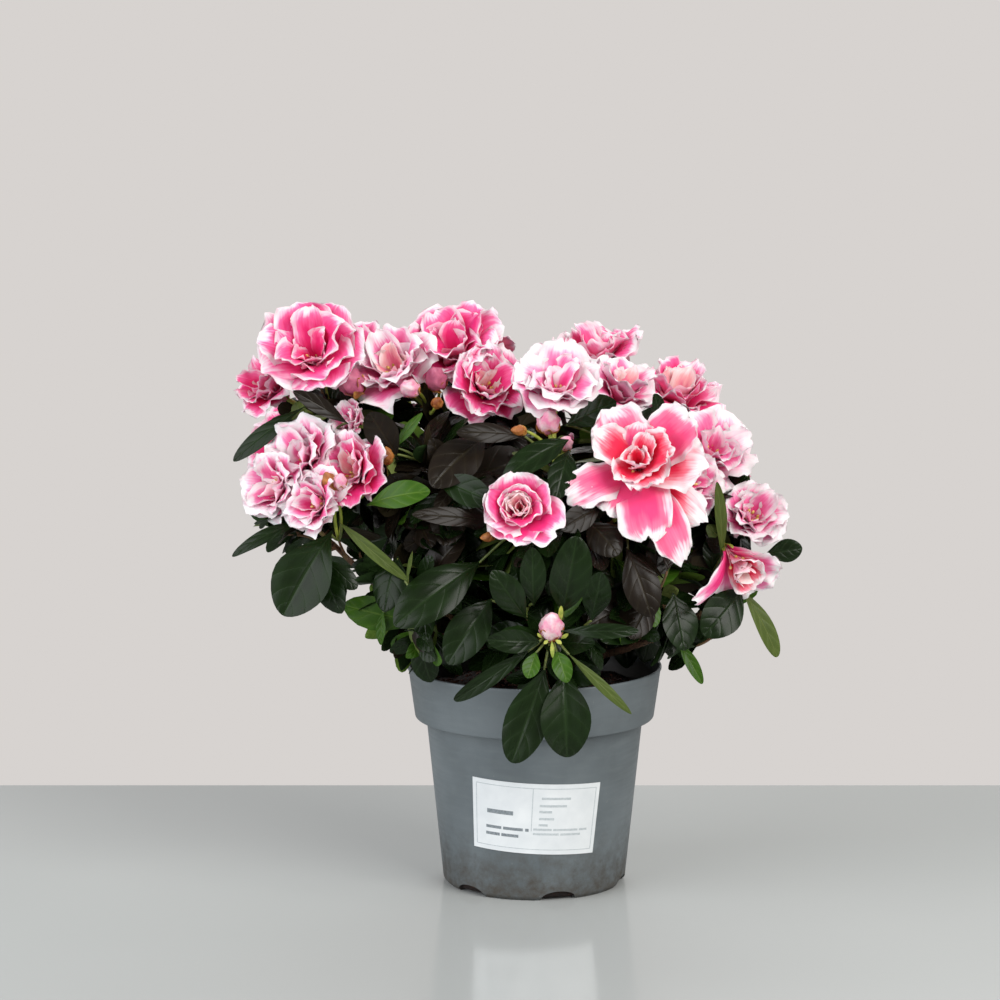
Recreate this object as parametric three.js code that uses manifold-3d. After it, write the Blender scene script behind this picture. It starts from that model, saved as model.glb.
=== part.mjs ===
// A potted azalea: a small evergreen shrub in bloom, in the plastic pot it was grown in.
// Millimetres, +Z up. The origin is the centre of the pot's flat underside, and the front is -Y.
import * as THREE from "three";
import { mergeVertices } from "three/addons/utils/BufferGeometryUtils.js";
import Module from "manifold-3d";

const wasm = await Module();
wasm.setup();

// Pot, a 12 cm nursery pot
const POT_HEIGHT = 104;
const RIM_RADIUS = 60;
const COLLAR_HEIGHT = 24.5;
const COLLAR_FOOT_RADIUS = 56.4;
const BODY_TOP_RADIUS = 51.2;
const FOOT_RADIUS = 43;
const FOOT_ROUND = 1.6;
const RIM_BEAD = 0.4;
const RIM_BEAD_FOOT = 1.5;
const RIM_BEAD_TOP = 0.8;
const RIM_ROUND = 0.3;
const POT_WALL = 1.3;
const POT_FACETS = 28;
const NOTCHES = 6;
const NOTCH_WIDTH = 17;
const NOTCH_HEIGHT = 4.4;
const NOTCH_SHOULDER = 0.42;
const NOTCH_DEPTH = 9;
const NOTCH_PAST = 3;
const NOTCH_BELOW = 1;
const NOTCH_STEPS = 4;
const NOTCH_TURN = 0.26;
const CLEAR = 0.3;

// Soil, filled to a finger's width under the rim
const SOIL_TOP = 94;
const SOIL_EDGE_DROP = 2.5;
const SOIL_MIDDLE_DROP = 0.35;
const SOIL_FLAT_RADIUS = 15;

// Label, wrapped on the front of the pot
const LABEL_WIDTH = 61;
const LABEL_HEIGHT = 34;
const LABEL_CENTRE_Z = 40.3;
const LABEL_TURN = -0.05;
const LABEL_THICK = 0.5;
const LABEL_COLUMNS = 12;

// Trunk, from the soil to its crotch
const TRUNK_TOP = [1, 2, 128];
const TRUNK_LEAN = [2, -1, 112];
const TRUNK_RADIUS = 5;
const TRUNK_TOP_RADIUS = 4.2;
const TRUNK_FLARE = 0.9;
const FLARE_HEIGHT = 5;
const FLARE_RIDGES = 5;
const FLARE_RIDGE_SHARE = 0.3;
const TRUNK_END_FROM = 0.94;
const TRUNK_END_SHARE = 0.78;
const TRUNK_STEPS = 10;
const TRUNK_SIDES = 10;

// Boughs, from the trunk to their masses. A pair runs from the lowest bough to the highest.
const BOUGH_RADIUS = 2.3;
const BOUGH_TIP_RADIUS = 1.7;
const BOUGH_REACH = 0.5;
const BOUGH_STEPS = 5;
const BOUGH_SIDES = 5;
const BOUGH_STARTS = [0.25, 0.86];
const BOUGH_BENDS_AT = [0.62, 0.45];
const BOUGH_BENDS_UP = [0.12, 0.37];
const BOUGH_RISE = 3;
const OUTWARD_RISE = 0.45;

// Stems and twigs
const STEM_RADIUS = 1.6;
const STEM_LENGTH = 9;
const STEM_SIDES = 5;
const TWIG_RADIUS = 1.5;
const TWIG_TIP_RADIUS = 1.25;
const TWIG_SPACING = 1;
const TWIG_STEPS = 2;
const TWIG_SIDES = 3;
const TWIG_REACHES = [0.36, 0.48];
const TWIG_SPREAD = 1.5;
const TWIG_BEND_AT = 0.45;
const TWIG_RISE = 0.18;
const TWIG_RUN_IN = 0.4;

// Leaves, in whorls that open downwards. Shares are of a leaf's length.
const LEAF_LENGTHS = [28, 42];
const LEAF_WIDTH_SHARE = 0.42;
const LEAF_THICK_SHARE = 0.022;
const LEAF_LEAST_THICK = 0.8;
const LEAF_WIDEST_AT = 0.52;
const LEAF_TESTED_AT = 0.6;
const LEAF_ROOT = [0.55, 0.7];
const LEAF_ARCH = 0.05;
const LEAF_BARE_SHARE = 0.1;
const LEAF_SAG = 0.25;
const LEAF_UPPER_RISE = 0.5;
const WHORL = 6;
const WHORL_STEP = 2.1;
const WHORL_OPEN = [0.75, 1.5];
const GOLDEN_ANGLE = Math.PI * (3 - Math.sqrt(5));

// Flowers and their stalks. A pair runs from a closed flower to an open one.
const PETALS = 5;
const STALK_LENGTH = 17;
const BUD_STALK_LENGTH = 6;
const STALK_RADIUS = 1.5;
const STALK_SIDES = 3;
const HUB_SHARE = 0.3;
const HUB_SIDES = 4;
const HUB_LAP = 1.2;
const HEAD_RISE = 0.3;
const HEAD_SEAT = 0.35;
const BLOOM_SEAT = 0.7;
const BLOOM_DEPTHS = [0.95, 0.3];
const BLOOM_SPREADS = [0.6, 1];
const FACED_FROM = [0, 15, 150];
const SMALL_BLOOM = 22;
const SMALL_BLOOM_STEPS = 2;
const BLOOM_STEPS = 3;
const BUD_OPEN = 0.2;
const LOBE_DEPTH = 0.13;
const RUFFLE = 0.09;

// Rings of an open flower: how far out as a share of its spread, how high as shares of its depth and
// its radius, and how much the lobes and ruffles show.
const COROLLA_RINGS = [
  { out: 0.26, depths: -0.55, radii: 0, wave: 0 },
  { out: 1, depths: 0.45, radii: 0, wave: 1 },
  { out: 0.5, depths: 0.05, radii: 0, wave: 0.3 },
  { out: 0.4, depths: 0, radii: 0.3, wave: -1 },
];
const COROLLA_THROAT = 1.1;
const COROLLA_CUP = 0.1;

// Rings of a bud, as shares of its radius: how far out and how high.
const BUD_RINGS = [[0.45, -1.1], [0.75, 0], [0.4, 1]];
const BUD_FOOT = 1.6;
const BUD_TIP = 1.4;

// Space that a mass keeps to, as shares of its reach, and what counts as a touch
const SPACE_REACH = 1.3;
const SPACE_SHARED = 0.22;
const TOUCH_MARGIN = 0.45;
const TOUCH_VOLUME = 1e-6;
const MERGE_DISTANCE = 1e-4;
const UPRIGHT = 0.9;

// Steps of the repeatable numbers
const SEED_FACTOR = 7919;
const STATE_FACTOR = 1664525;
const STATE_STEP = 1013904223;
const STATE_RANGE = 2 ** 32;

// Masses of foliage. Each keeps to the space within its reach of its centre, up to its neighbours'.
// tier is the height on the trunk where its bough leaves, from 0 at the soil to 1 at the crotch.
const MASSES = [
  { name: "front_low", centre: [6, -54, 126], reach: 38, shoots: 3, tier: 0, seed: 11 },
  { name: "left_low", centre: [-50, -36, 138], reach: 38, shoots: 5, tier: 0.02, seed: 12 },
  { name: "left_drop", centre: [-104, -34, 170], reach: 40, shoots: 3, tier: 0.22, seed: 13 },
  { name: "left_high", centre: [-88, 8, 214], reach: 42, shoots: 5, tier: 0.6, seed: 14 },
  { name: "centre_left", centre: [-42, -24, 190], reach: 36, shoots: 5, tier: 0.84, seed: 15 },
  { name: "centre", centre: [10, -40, 172], reach: 35, shoots: 5, tier: 1, seed: 16 },
  { name: "top_mid", centre: [-20, 24, 208], reach: 38, shoots: 5, tier: 1, seed: 17 },
  { name: "right_front", centre: [52, -40, 142], reach: 36, shoots: 5, tier: 0.22, seed: 18 },
  { name: "right_low", centre: [88, -16, 132], reach: 38, shoots: 4, tier: 0.02, seed: 19 },
  { name: "right_high", centre: [92, 8, 172], reach: 36, shoots: 4, tier: 0.42, seed: 20 },
  { name: "top_right", centre: [44, 8, 192], reach: 34, shoots: 4, tier: 0.9, seed: 25 },
  { name: "back_right", centre: [56, 58, 186], reach: 42, shoots: 4, tier: 0.72, seed: 21 },
  { name: "back_mid", centre: [-6, 76, 176], reach: 42, shoots: 3, tier: 0.18, seed: 22 },
  { name: "back_left", centre: [-66, 56, 184], reach: 42, shoots: 3, tier: 0.38, seed: 23 },
  { name: "back_low", centre: [14, 58, 128], reach: 40, shoots: 4, tier: 0.02, seed: 24 },
];

// Flower heads. Each is carried by a shoot of its mass.
// A bloom has its centre, its radius, how far it is open and, where it is given, the way it faces.
const HEADS = [
  { name: "upper_left", mass: "left_high", blooms: [
    { at: [-101, 0, 247], r: 25, open: 1, face: [-0.2, -0.75, 0.6] },
    { at: [-129, 4, 238], r: 16, open: 0.6 },
    { at: [-86, -16, 241], r: 6, open: 0.1 },
  ] },
  { name: "small_left", mass: "left_high", blooms: [{ at: [-85, -15, 221], r: 10, open: 0.4 }] },
  { name: "upper_inner_left", mass: "top_mid", blooms: [{ at: [-63, 0, 246], r: 19, open: 0.8 }] },
  { name: "upper_mid", mass: "top_mid", blooms: [
    { at: [-36, 26, 256], r: 22, open: 1 },
    { at: [-25, 0, 237], r: 18, open: 0.8 },
  ] },
  { name: "top_centre", mass: "centre", blooms: [
    { at: [10, -24, 240], r: 20, open: 0.9 },
    { at: [6, -38, 225], r: 6, open: 0.1 },
  ] },
  { name: "crown_mid", mass: "top_right", blooms: [{ at: [38, 24, 230], r: 17, open: 0.7 }] },
  { name: "back_centre", mass: "back_mid", blooms: [{ at: [34, 82, 236], r: 20, open: 0.9 }] },
  { name: "back_right", mass: "back_right", blooms: [{ at: [74, 68, 226], r: 21, open: 0.9 }] },
  { name: "right_mid", mass: "right_high", blooms: [{ at: [80, -2, 202], r: 19, open: 0.8 }] },
  { name: "front_right", mass: "centre", blooms: [
    { at: [47, -46, 203], r: 33, open: 1, face: [-0.1, -0.85, 0.5] },
    { at: [69, -30, 194], r: 14, open: 0.8 },
  ] },
  { name: "front_centre", mass: "centre", blooms: [{ at: [-7, -57, 186], r: 18, open: 0.5 }] },
  { name: "left", mass: "left_drop", blooms: [
    { at: [-109, -20, 210], r: 20, open: 0.9 },
    { at: [-82, -36, 201], r: 17, open: 0.7 },
    { at: [-99, -44, 187], r: 15, open: 0.7 },
    { at: [-125, -25, 191], r: 17, open: 0.7 },
  ] },
  { name: "right", mass: "right_high", blooms: [{ at: [103, -16, 177], r: 15, open: 0.5 }] },
  { name: "right_low", mass: "right_high", blooms: [
    { at: [91, -38, 161], r: 17, open: 0.6, face: [0.35, -0.8, -0.45] },
  ] },
  { name: "front_bud", mass: "front_low", blooms: [{ at: [7, -77, 137], r: 5, open: 0.1 }] },
  { name: "rear_upper_left", mass: "back_left", blooms: [
    { at: [-86, 52, 236], r: 22, open: 1 },
    { at: [-66, 78, 226], r: 17, open: 0.7 },
  ] },
  { name: "rear_top", mass: "top_mid", blooms: [{ at: [-20, 64, 246], r: 20, open: 0.9 }] },
  { name: "rear_left", mass: "back_left", blooms: [{ at: [-116, 42, 200], r: 20, open: 0.9 }] },
  { name: "rear_low_left", mass: "back_left", blooms: [{ at: [-74, 94, 180], r: 20, open: 0.9 }] },
  { name: "rear_mid", mass: "back_mid", blooms: [
    { at: [-16, 108, 204], r: 22, open: 1 },
    { at: [10, 112, 184], r: 16, open: 0.7 },
  ] },
  { name: "rear_right", mass: "back_right", blooms: [{ at: [104, 50, 190], r: 20, open: 0.9 }] },
  { name: "rear_low_right", mass: "back_right", blooms: [{ at: [64, 100, 180], r: 20, open: 0.8 }] },
];

// Leaves that show by themselves at the crown's edge.
// Each grows on its mass's nearest shoot and reaches its tip.
const EDGE_LEAVES = [
  { mass: "front_low", tip: [-11, -80, 79], width: 21 },
  { mass: "front_low", tip: [15, -80, 81], width: 23 },
  { mass: "front_low", tip: [-40, -68, 100], width: 13 },
  { mass: "front_low", tip: [45, -72, 99], width: 9 },
  { mass: "left_drop", tip: [-114, -58, 138], width: 28 },
  { mass: "left_drop", tip: [-140, -42, 164], width: 13 },
  { mass: "left_high", tip: [-141, 6, 203], width: 14 },
  { mass: "right_high", tip: [125, -12, 163], width: 16 },
  { mass: "right_low", tip: [113, -32, 116], width: 14 },
  { mass: "right_low", tip: [82, -6, 94], width: 12 },
];

const isBud = (bloom) => bloom.open < BUD_OPEN;
const vector = (list) => new THREE.Vector3(...list);
const UP = new THREE.Vector3(0, 0, 1);

// Repeatable numbers from 0 to 1.
function seeded(seed) {
  let state = (seed * SEED_FACTOR) >>> 0;
  return () => {
    state = (Math.imul(state, STATE_FACTOR) + STATE_STEP) >>> 0;
    return state / STATE_RANGE;
  };
}

// A closed mesh as a solid, once its shared corners are merged.
function solidOf(geometry) {
  const bare = geometry.clone();
  bare.deleteAttribute("normal");
  bare.deleteAttribute("uv");
  const merged = mergeVertices(bare, MERGE_DISTANCE);
  const solid = new wasm.Manifold(
    new wasm.Mesh({
      numProp: 3,
      vertProperties: merged.attributes.position.array,
      triVerts: new Uint32Array(merged.index.array),
    }),
  );
  if (solid.volume() < 0) throw new Error("a shape is inside out");
  return solid;
}

// A solid as a geometry for a mesh.
function geometryOf(solid) {
  const mesh = solid.getMesh();
  const geometry = new THREE.BufferGeometry();
  geometry.setAttribute("position", new THREE.BufferAttribute(mesh.vertProperties, mesh.numProp));
  geometry.setIndex(new THREE.BufferAttribute(mesh.triVerts, 1));
  geometry.computeVertexNormals();
  return geometry;
}

// Solids fused into one, with loose scraps dropped and sealed hollows filled.
function fuse(solids) {
  const joined = solids.reduce((sum, solid) => sum.add(solid));
  return joined.decompose().reduce((best, piece) => (piece.volume() > best.volume() ? piece : best));
}

// A closed body over rings of corners that run counter-clockwise about its axis.
// A pole closes an end to a point.
function closedBody(rings, startPole, endPole) {
  const count = rings[0].length;
  const corners = rings.flat();
  const faces = [];
  for (let ring = 0; ring + 1 < rings.length; ring += 1) {
    for (let side = 0; side < count; side += 1) {
      const next = (side + 1) % count;
      const low = ring * count;
      const high = low + count;
      faces.push(low + side, low + next, high + next, low + side, high + next, high + side);
    }
  }
  const last = (rings.length - 1) * count;
  if (startPole) {
    corners.push(startPole);
    const pole = corners.length - 1;
    for (let side = 0; side < count; side += 1) faces.push(pole, (side + 1) % count, side);
  } else {
    for (let side = 1; side + 1 < count; side += 1) faces.push(0, side + 1, side);
  }
  if (endPole) {
    corners.push(endPole);
    const pole = corners.length - 1;
    for (let side = 0; side < count; side += 1) {
      faces.push(pole, last + side, last + ((side + 1) % count));
    }
  } else {
    for (let side = 1; side + 1 < count; side += 1) faces.push(last, last + side, last + side + 1);
  }
  const geometry = new THREE.BufferGeometry().setFromPoints(corners);
  geometry.setIndex(faces);
  return geometry;
}

// A tapering limb of a few sides along a curve.
// radiusAt gives its radius from 0 at the foot to 1 at the tip.
function limb(curve, steps, sides, radiusAt) {
  const frames = curve.computeFrenetFrames(steps);
  const rings = [];
  for (let step = 0; step <= steps; step += 1) {
    const centre = curve.getPointAt(step / steps);
    const ring = [];
    for (let side = 0; side < sides; side += 1) {
      const angle = (side / sides) * 2 * Math.PI;
      const radius = radiusAt(step / steps, angle);
      ring.push(
        centre
          .clone()
          .addScaledVector(frames.normals[step], radius * Math.cos(angle))
          .addScaledVector(frames.binormals[step], radius * Math.sin(angle)),
      );
    }
    rings.push(ring);
  }
  return closedBody(rings);
}

const { lerp } = THREE.MathUtils;
const taper = (from, to) => (along) => lerp(from, to, along);

// A straight limb of even thickness.
function rod(from, to, sides, radius) {
  return solidOf(limb(new THREE.LineCurve3(from, to), 1, sides, taper(radius, radius)));
}

// Two directions that make a right-handed set with an axis.
function acrossOf(axis) {
  const helper = Math.abs(axis.z) < UPRIGHT ? UP : new THREE.Vector3(1, 0, 0);
  const first = new THREE.Vector3().crossVectors(helper, axis).normalize();
  const second = new THREE.Vector3().crossVectors(axis, first).normalize();
  return [first, second];
}

// Outer radius of the pot's body at a height.
const bodyRadius = (z) => lerp(FOOT_RADIUS, BODY_TOP_RADIUS, z / (POT_HEIGHT - COLLAR_HEIGHT));

// A profile of radius and height, turned about the upright axis.
function turned(profile, facets) {
  const points = profile.map(([radius, z]) => new THREE.Vector2(radius, z));
  return new THREE.LatheGeometry(points, facets).rotateX(Math.PI / 2);
}

function makePot() {
  const ledge = POT_HEIGHT - COLLAR_HEIGHT;
  const shell = solidOf(
    turned(
      [
        [0, 0],
        [FOOT_RADIUS - FOOT_ROUND, 0],
        [bodyRadius(FOOT_ROUND), FOOT_ROUND],
        [BODY_TOP_RADIUS, ledge],
        [COLLAR_FOOT_RADIUS, ledge],
        [RIM_RADIUS - RIM_BEAD, POT_HEIGHT - RIM_BEAD_FOOT],
        [RIM_RADIUS, POT_HEIGHT - RIM_BEAD_TOP],
        [RIM_RADIUS - RIM_ROUND, POT_HEIGHT],
        [RIM_RADIUS - POT_WALL, POT_HEIGHT],
        [COLLAR_FOOT_RADIUS - POT_WALL, ledge + POT_WALL],
        [BODY_TOP_RADIUS - POT_WALL, ledge + POT_WALL],
        [bodyRadius(POT_WALL) - POT_WALL, POT_WALL],
        [0, POT_WALL],
      ],
      POT_FACETS,
    ),
  );
  return fuse([notches().reduce((pot, notch) => pot.subtract(notch), shell)]);
}

// Arched drainage notches, cut through the foot's corner.
function notches() {
  const half = NOTCH_WIDTH / 2;
  const shoulder = NOTCH_WIDTH * NOTCH_SHOULDER;
  const arch = new THREE.Shape();
  arch.moveTo(-half, -NOTCH_BELOW);
  arch.lineTo(half, -NOTCH_BELOW);
  arch.quadraticCurveTo(shoulder, NOTCH_HEIGHT, 0, NOTCH_HEIGHT);
  arch.quadraticCurveTo(-shoulder, NOTCH_HEIGHT, -half, -NOTCH_BELOW);
  const geometry = new THREE.ExtrudeGeometry(arch, {
    depth: NOTCH_DEPTH,
    bevelEnabled: false,
    curveSegments: NOTCH_STEPS,
  });
  geometry.rotateX(Math.PI / 2).translate(0, -(FOOT_RADIUS - NOTCH_DEPTH + NOTCH_PAST), 0);
  const cuts = [];
  for (let index = 0; index < NOTCHES; index += 1) {
    cuts.push(solidOf(geometry.clone().rotateZ(NOTCH_TURN + (index / NOTCHES) * 2 * Math.PI)));
  }
  return cuts;
}

// The soil fills the pot a hair clear of its wall, and rises to a flat patch round the trunk.
function makeSoil() {
  const ledge = POT_HEIGHT - COLLAR_HEIGHT;
  const gap = POT_WALL + CLEAR;
  const edgeZ = SOIL_TOP - SOIL_EDGE_DROP;
  const collarSlope = (RIM_RADIUS - COLLAR_FOOT_RADIUS) / COLLAR_HEIGHT;
  return solidOf(
    turned(
      [
        [0, gap],
        [bodyRadius(gap) - gap, gap],
        [BODY_TOP_RADIUS - gap, ledge + gap],
        [COLLAR_FOOT_RADIUS - gap, ledge + gap],
        [COLLAR_FOOT_RADIUS + collarSlope * (edgeZ - ledge) - gap, edgeZ],
        [(RIM_RADIUS + SOIL_FLAT_RADIUS) / 2, SOIL_TOP - SOIL_EDGE_DROP * SOIL_MIDDLE_DROP],
        [SOIL_FLAT_RADIUS, SOIL_TOP],
        [0, SOIL_TOP],
      ],
      POT_FACETS,
    ),
  );
}

// A thin sheet that follows the pot's taper, a hair clear of it.
function makeLabel() {
  const rings = [];
  for (let column = 0; column <= LABEL_COLUMNS; column += 1) {
    const ring = [];
    for (const [edge, layer] of [[-1, 1], [-1, 0], [1, 0], [1, 1]]) {
      const flatX = (column / LABEL_COLUMNS - 0.5) * LABEL_WIDTH;
      const flatZ = (edge * LABEL_HEIGHT) / 2;
      const x = flatX * Math.cos(LABEL_TURN) - flatZ * Math.sin(LABEL_TURN);
      const z = LABEL_CENTRE_Z + flatX * Math.sin(LABEL_TURN) + flatZ * Math.cos(LABEL_TURN);
      const radius = bodyRadius(z) + CLEAR + layer * LABEL_THICK;
      const angle = x / bodyRadius(LABEL_CENTRE_Z);
      ring.push(new THREE.Vector3(radius * Math.sin(angle), -radius * Math.cos(angle), z));
    }
    rings.push(ring);
  }
  return solidOf(closedBody(rings));
}

// The trunk's centre line, upright where it leaves the soil.
const trunkCurve = new THREE.CubicBezierCurve3(
  new THREE.Vector3(0, 0, SOIL_TOP + CLEAR),
  new THREE.Vector3(0, 0, SOIL_TOP + FLARE_HEIGHT),
  vector(TRUNK_LEAN),
  vector(TRUNK_TOP),
);

// The trunk flares into root ridges at the soil. extra makes the fatter copy that seats the boughs.
function makeTrunk(extra) {
  const height = TRUNK_TOP[2] - SOIL_TOP;
  const radiusAt = (along, angle) => {
    const flare = TRUNK_FLARE * Math.exp((-along * height) / FLARE_HEIGHT);
    const ridges = 1 + FLARE_RIDGE_SHARE * flare * Math.cos(FLARE_RIDGES * angle);
    const rounding = along > TRUNK_END_FROM ? TRUNK_END_SHARE : 1;
    const radius = lerp(TRUNK_RADIUS, TRUNK_TOP_RADIUS, along);
    return radius * (1 + flare) * ridges * rounding + extra;
  };
  return solidOf(limb(trunkCurve, TRUNK_STEPS, TRUNK_SIDES, radiusAt));
}

// Where a mass's bough ends, on the way from the trunk to the mass's centre.
function placeMass(row) {
  const centre = vector(row.centre);
  const start = trunkCurve.getPointAt(lerp(...BOUGH_STARTS, row.tier));
  const way = centre.clone().sub(start);
  const foot = centre.clone().addScaledVector(way.clone().normalize(), -BOUGH_REACH * row.reach);
  const share = lerp(...BOUGH_BENDS_AT, row.tier);
  const bend = new THREE.Vector3(
    lerp(start.x, foot.x, share),
    lerp(start.y, foot.y, share),
    lerp(start.z, foot.z, lerp(...BOUGH_BENDS_UP, row.tier)) + BOUGH_RISE,
  );
  const curve = new THREE.QuadraticBezierCurve3(start, bend, foot);
  const along = curve.getTangentAt(1);
  const outward = way.setZ(0).normalize().addScaledVector(UP, OUTWARD_RISE).normalize();
  return { ...row, centre, foot, curve, along, outward };
}

const masses = MASSES.map(placeMass);

// A bough is cut where it meets the trunk, so it seats on the bark.
function makeBough(mass, seat) {
  const radiusAt = taper(BOUGH_RADIUS, BOUGH_TIP_RADIUS);
  const bough = solidOf(limb(mass.curve, BOUGH_STEPS, BOUGH_SIDES, radiusAt));
  return fuse([bough.subtract(seat)]);
}

// Whether a point lies in a mass's own space: within its reach, and not well into a neighbour's.
function isOwn(mass, point) {
  const own = point.distanceTo(mass.centre) / mass.reach;
  if (own > SPACE_REACH) return false;
  const shareOf = (other) => point.distanceTo(other.centre) / other.reach;
  return masses.every((other) => own <= shareOf(other) + SPACE_SHARED);
}

const taken = [];

// Whether a solid touches anything that other nodes have taken.
function isFree(solid, owner) {
  const { min, max } = solid.boundingBox();
  return taken.every((entry) => {
    if (entry.owner === owner) return true;
    const apart = min.some((low, axis) => low > entry.max[axis] || max[axis] < entry.min[axis]);
    return apart || solid.intersect(entry.solid).volume() < TOUCH_VOLUME;
  });
}

function take(solid, owner) {
  taken.push({ solid, owner, ...solid.boundingBox() });
}

// A leaf of ten faces from its root to its tip, flat underneath, with a ridge on its upper side.
function leaf(root, tip, width, upper, extra) {
  const along = tip.clone().sub(root);
  const length = along.length();
  along.normalize();
  const side = new THREE.Vector3().crossVectors(upper, along).normalize();
  const top = new THREE.Vector3().crossVectors(along, side).normalize();
  const thick = Math.max(length * LEAF_THICK_SHARE, LEAF_LEAST_THICK);
  const section = (centre, half, height) => [
    centre.clone().addScaledVector(side, half + extra).addScaledVector(top, -extra),
    centre.clone().addScaledVector(top, height + extra),
    centre.clone().addScaledVector(side, -half - extra).addScaledVector(top, -extra),
  ];
  const middle = root.clone().lerp(tip, LEAF_WIDEST_AT).addScaledVector(top, LEAF_ARCH * length);
  const rings = [
    section(root.clone().addScaledVector(top, -LEAF_ROOT[1] / 2), LEAF_ROOT[0], LEAF_ROOT[1]),
    section(middle, width / 2, thick),
  ];
  return solidOf(closedBody(rings, undefined, tip.clone().addScaledVector(along, extra)));
}

// A twig's line from a fork to its tip, rising first and then spreading, or ending along a given way.
function twigCurve(from, to, lean, ending) {
  const span = from.distanceTo(to);
  const bend = from.clone().lerp(to, TWIG_BEND_AT).addScaledVector(lean, span * TWIG_RISE);
  if (ending) bend.copy(to).addScaledVector(ending, -span * TWIG_RUN_IN);
  return new THREE.QuadraticBezierCurve3(from, bend, to);
}

// Where the shoots of a mass end: first those that carry its heads, then others on a golden spiral.
function shootsOf(mass, random) {
  const shoots = heads
    .filter((head) => head.mass === mass.name)
    .map((head) => ({ tip: head.foot.clone().addScaledVector(head.along, -CLEAR), head }));
  const [first, second] = acrossOf(mass.outward);
  const turn = random() * 2 * Math.PI;
  for (let index = 0; index < mass.shoots; index += 1) {
    const polar = Math.acos(1 - ((index + 0.5) / mass.shoots) * TWIG_SPREAD);
    const round = turn + index * GOLDEN_ANGLE;
    const direction = mass.outward
      .clone()
      .multiplyScalar(Math.cos(polar))
      .addScaledVector(first, Math.sin(polar) * Math.cos(round))
      .addScaledVector(second, Math.sin(polar) * Math.sin(round));
    const reach = mass.reach * lerp(...TWIG_REACHES, random());
    shoots.push({ tip: mass.centre.clone().addScaledVector(direction, reach) });
  }
  return shoots;
}

// The stem and twigs of a mass, as far as they touch no other limb.
function growTwigs(mass) {
  const random = seeded(mass.seed);
  const start = mass.foot.clone().addScaledVector(mass.along, CLEAR);
  const fork = start.clone().addScaledVector(mass.along, STEM_LENGTH);
  const solids = [rod(start, fork, STEM_SIDES, STEM_RADIUS)];
  const tips = [];
  const grow = (curve, radiusAt) => solidOf(limb(curve, TWIG_STEPS, TWIG_SIDES, radiusAt));
  for (const [index, shoot] of shootsOf(mass, random).entries()) {
    const from = fork.clone().addScaledVector(mass.along, -TWIG_SPACING * (index + 0.5));
    const curve = twigCurve(from, shoot.tip, mass.along, shoot.head && shoot.head.along);
    const clear = grow(curve, taper(TWIG_RADIUS + TOUCH_MARGIN, TWIG_TIP_RADIUS));
    if (shoot.head || isFree(clear, mass.name)) {
      solids.push(grow(curve, taper(TWIG_RADIUS, TWIG_TIP_RADIUS)));
      tips.push({ tip: shoot.tip, along: curve.getTangentAt(1), grown: 0 });
    }
  }
  return { mass, random, solids, tips, leaves: [] };
}

// A leaf is kept where it stays in its mass's space, touches no other node, and crosses no leaf of
// its own mass. One that is shown by itself only has to touch no other node.
function addLeaf(plant, root, tip, width, upper, shown) {
  const middle = root.clone().lerp(tip, LEAF_TESTED_AT);
  if (!shown && !(isOwn(plant.mass, tip) && isOwn(plant.mass, middle))) return;
  const blade = leaf(root.clone().lerp(tip, LEAF_BARE_SHARE), tip, width, upper, 0);
  if (!shown && plant.leaves.some((other) => blade.intersect(other).volume() > 0)) return;
  if (isFree(leaf(root, tip, width, upper, TOUCH_MARGIN), plant.mass.name)) {
    plant.leaves.push(leaf(root, tip, width, upper, 0));
  }
}

// A leaf that reaches a given place from the nearest shoot, its upper side away from the crown.
function growEdgeLeaf(plant, row) {
  const tip = vector(row.tip);
  const far = (shoot) => shoot.tip.distanceTo(tip);
  const shoot = plant.tips.reduce((best, entry) => (far(entry) < far(best) ? entry : best));
  const root = nextRoot(shoot);
  const upper = root.clone().sub(vector(FACED_FROM)).normalize().add(UP);
  addLeaf(plant, root, tip, row.width, upper, true);
}

// Where the next leaf down a shoot has its root.
function nextRoot(shoot) {
  shoot.grown += 1;
  return shoot.tip.clone().addScaledVector(shoot.along, -WHORL_STEP * shoot.grown);
}

// A whorl of leaves round a shoot's tip, opening further the lower they sit, and hanging a little.
function growWhorl(plant, shoot) {
  const [first, second] = acrossOf(shoot.along);
  const turn = plant.random() * 2 * Math.PI;
  for (let index = 0; index < WHORL; index += 1) {
    const open = lerp(...WHORL_OPEN, (index + plant.random()) / WHORL);
    const round = turn + index * GOLDEN_ANGLE;
    const direction = shoot.along
      .clone()
      .multiplyScalar(Math.cos(open))
      .addScaledVector(first, Math.sin(open) * Math.cos(round))
      .addScaledVector(second, Math.sin(open) * Math.sin(round))
      .addScaledVector(UP, -LEAF_SAG)
      .normalize();
    const length = lerp(...LEAF_LENGTHS, plant.random());
    const root = nextRoot(shoot);
    const tip = root.clone().addScaledVector(direction, length);
    const upper = shoot.along.clone().addScaledVector(UP, LEAF_UPPER_RISE);
    addLeaf(plant, root, tip, length * LEAF_WIDTH_SHARE, upper, false);
  }
}

// A ring of corners round a flower. outAt and highAt give each corner's place from its turn.
function petalRing(centre, face, corners, turn, outAt, highAt) {
  const [first, second] = acrossOf(face);
  return Array.from({ length: corners }, (_, index) => {
    const round = turn + (index / corners) * 2 * Math.PI;
    return centre
      .clone()
      .addScaledVector(first, outAt(round) * Math.cos(round))
      .addScaledVector(second, outAt(round) * Math.sin(round))
      .addScaledVector(face, highAt(round));
  });
}

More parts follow.
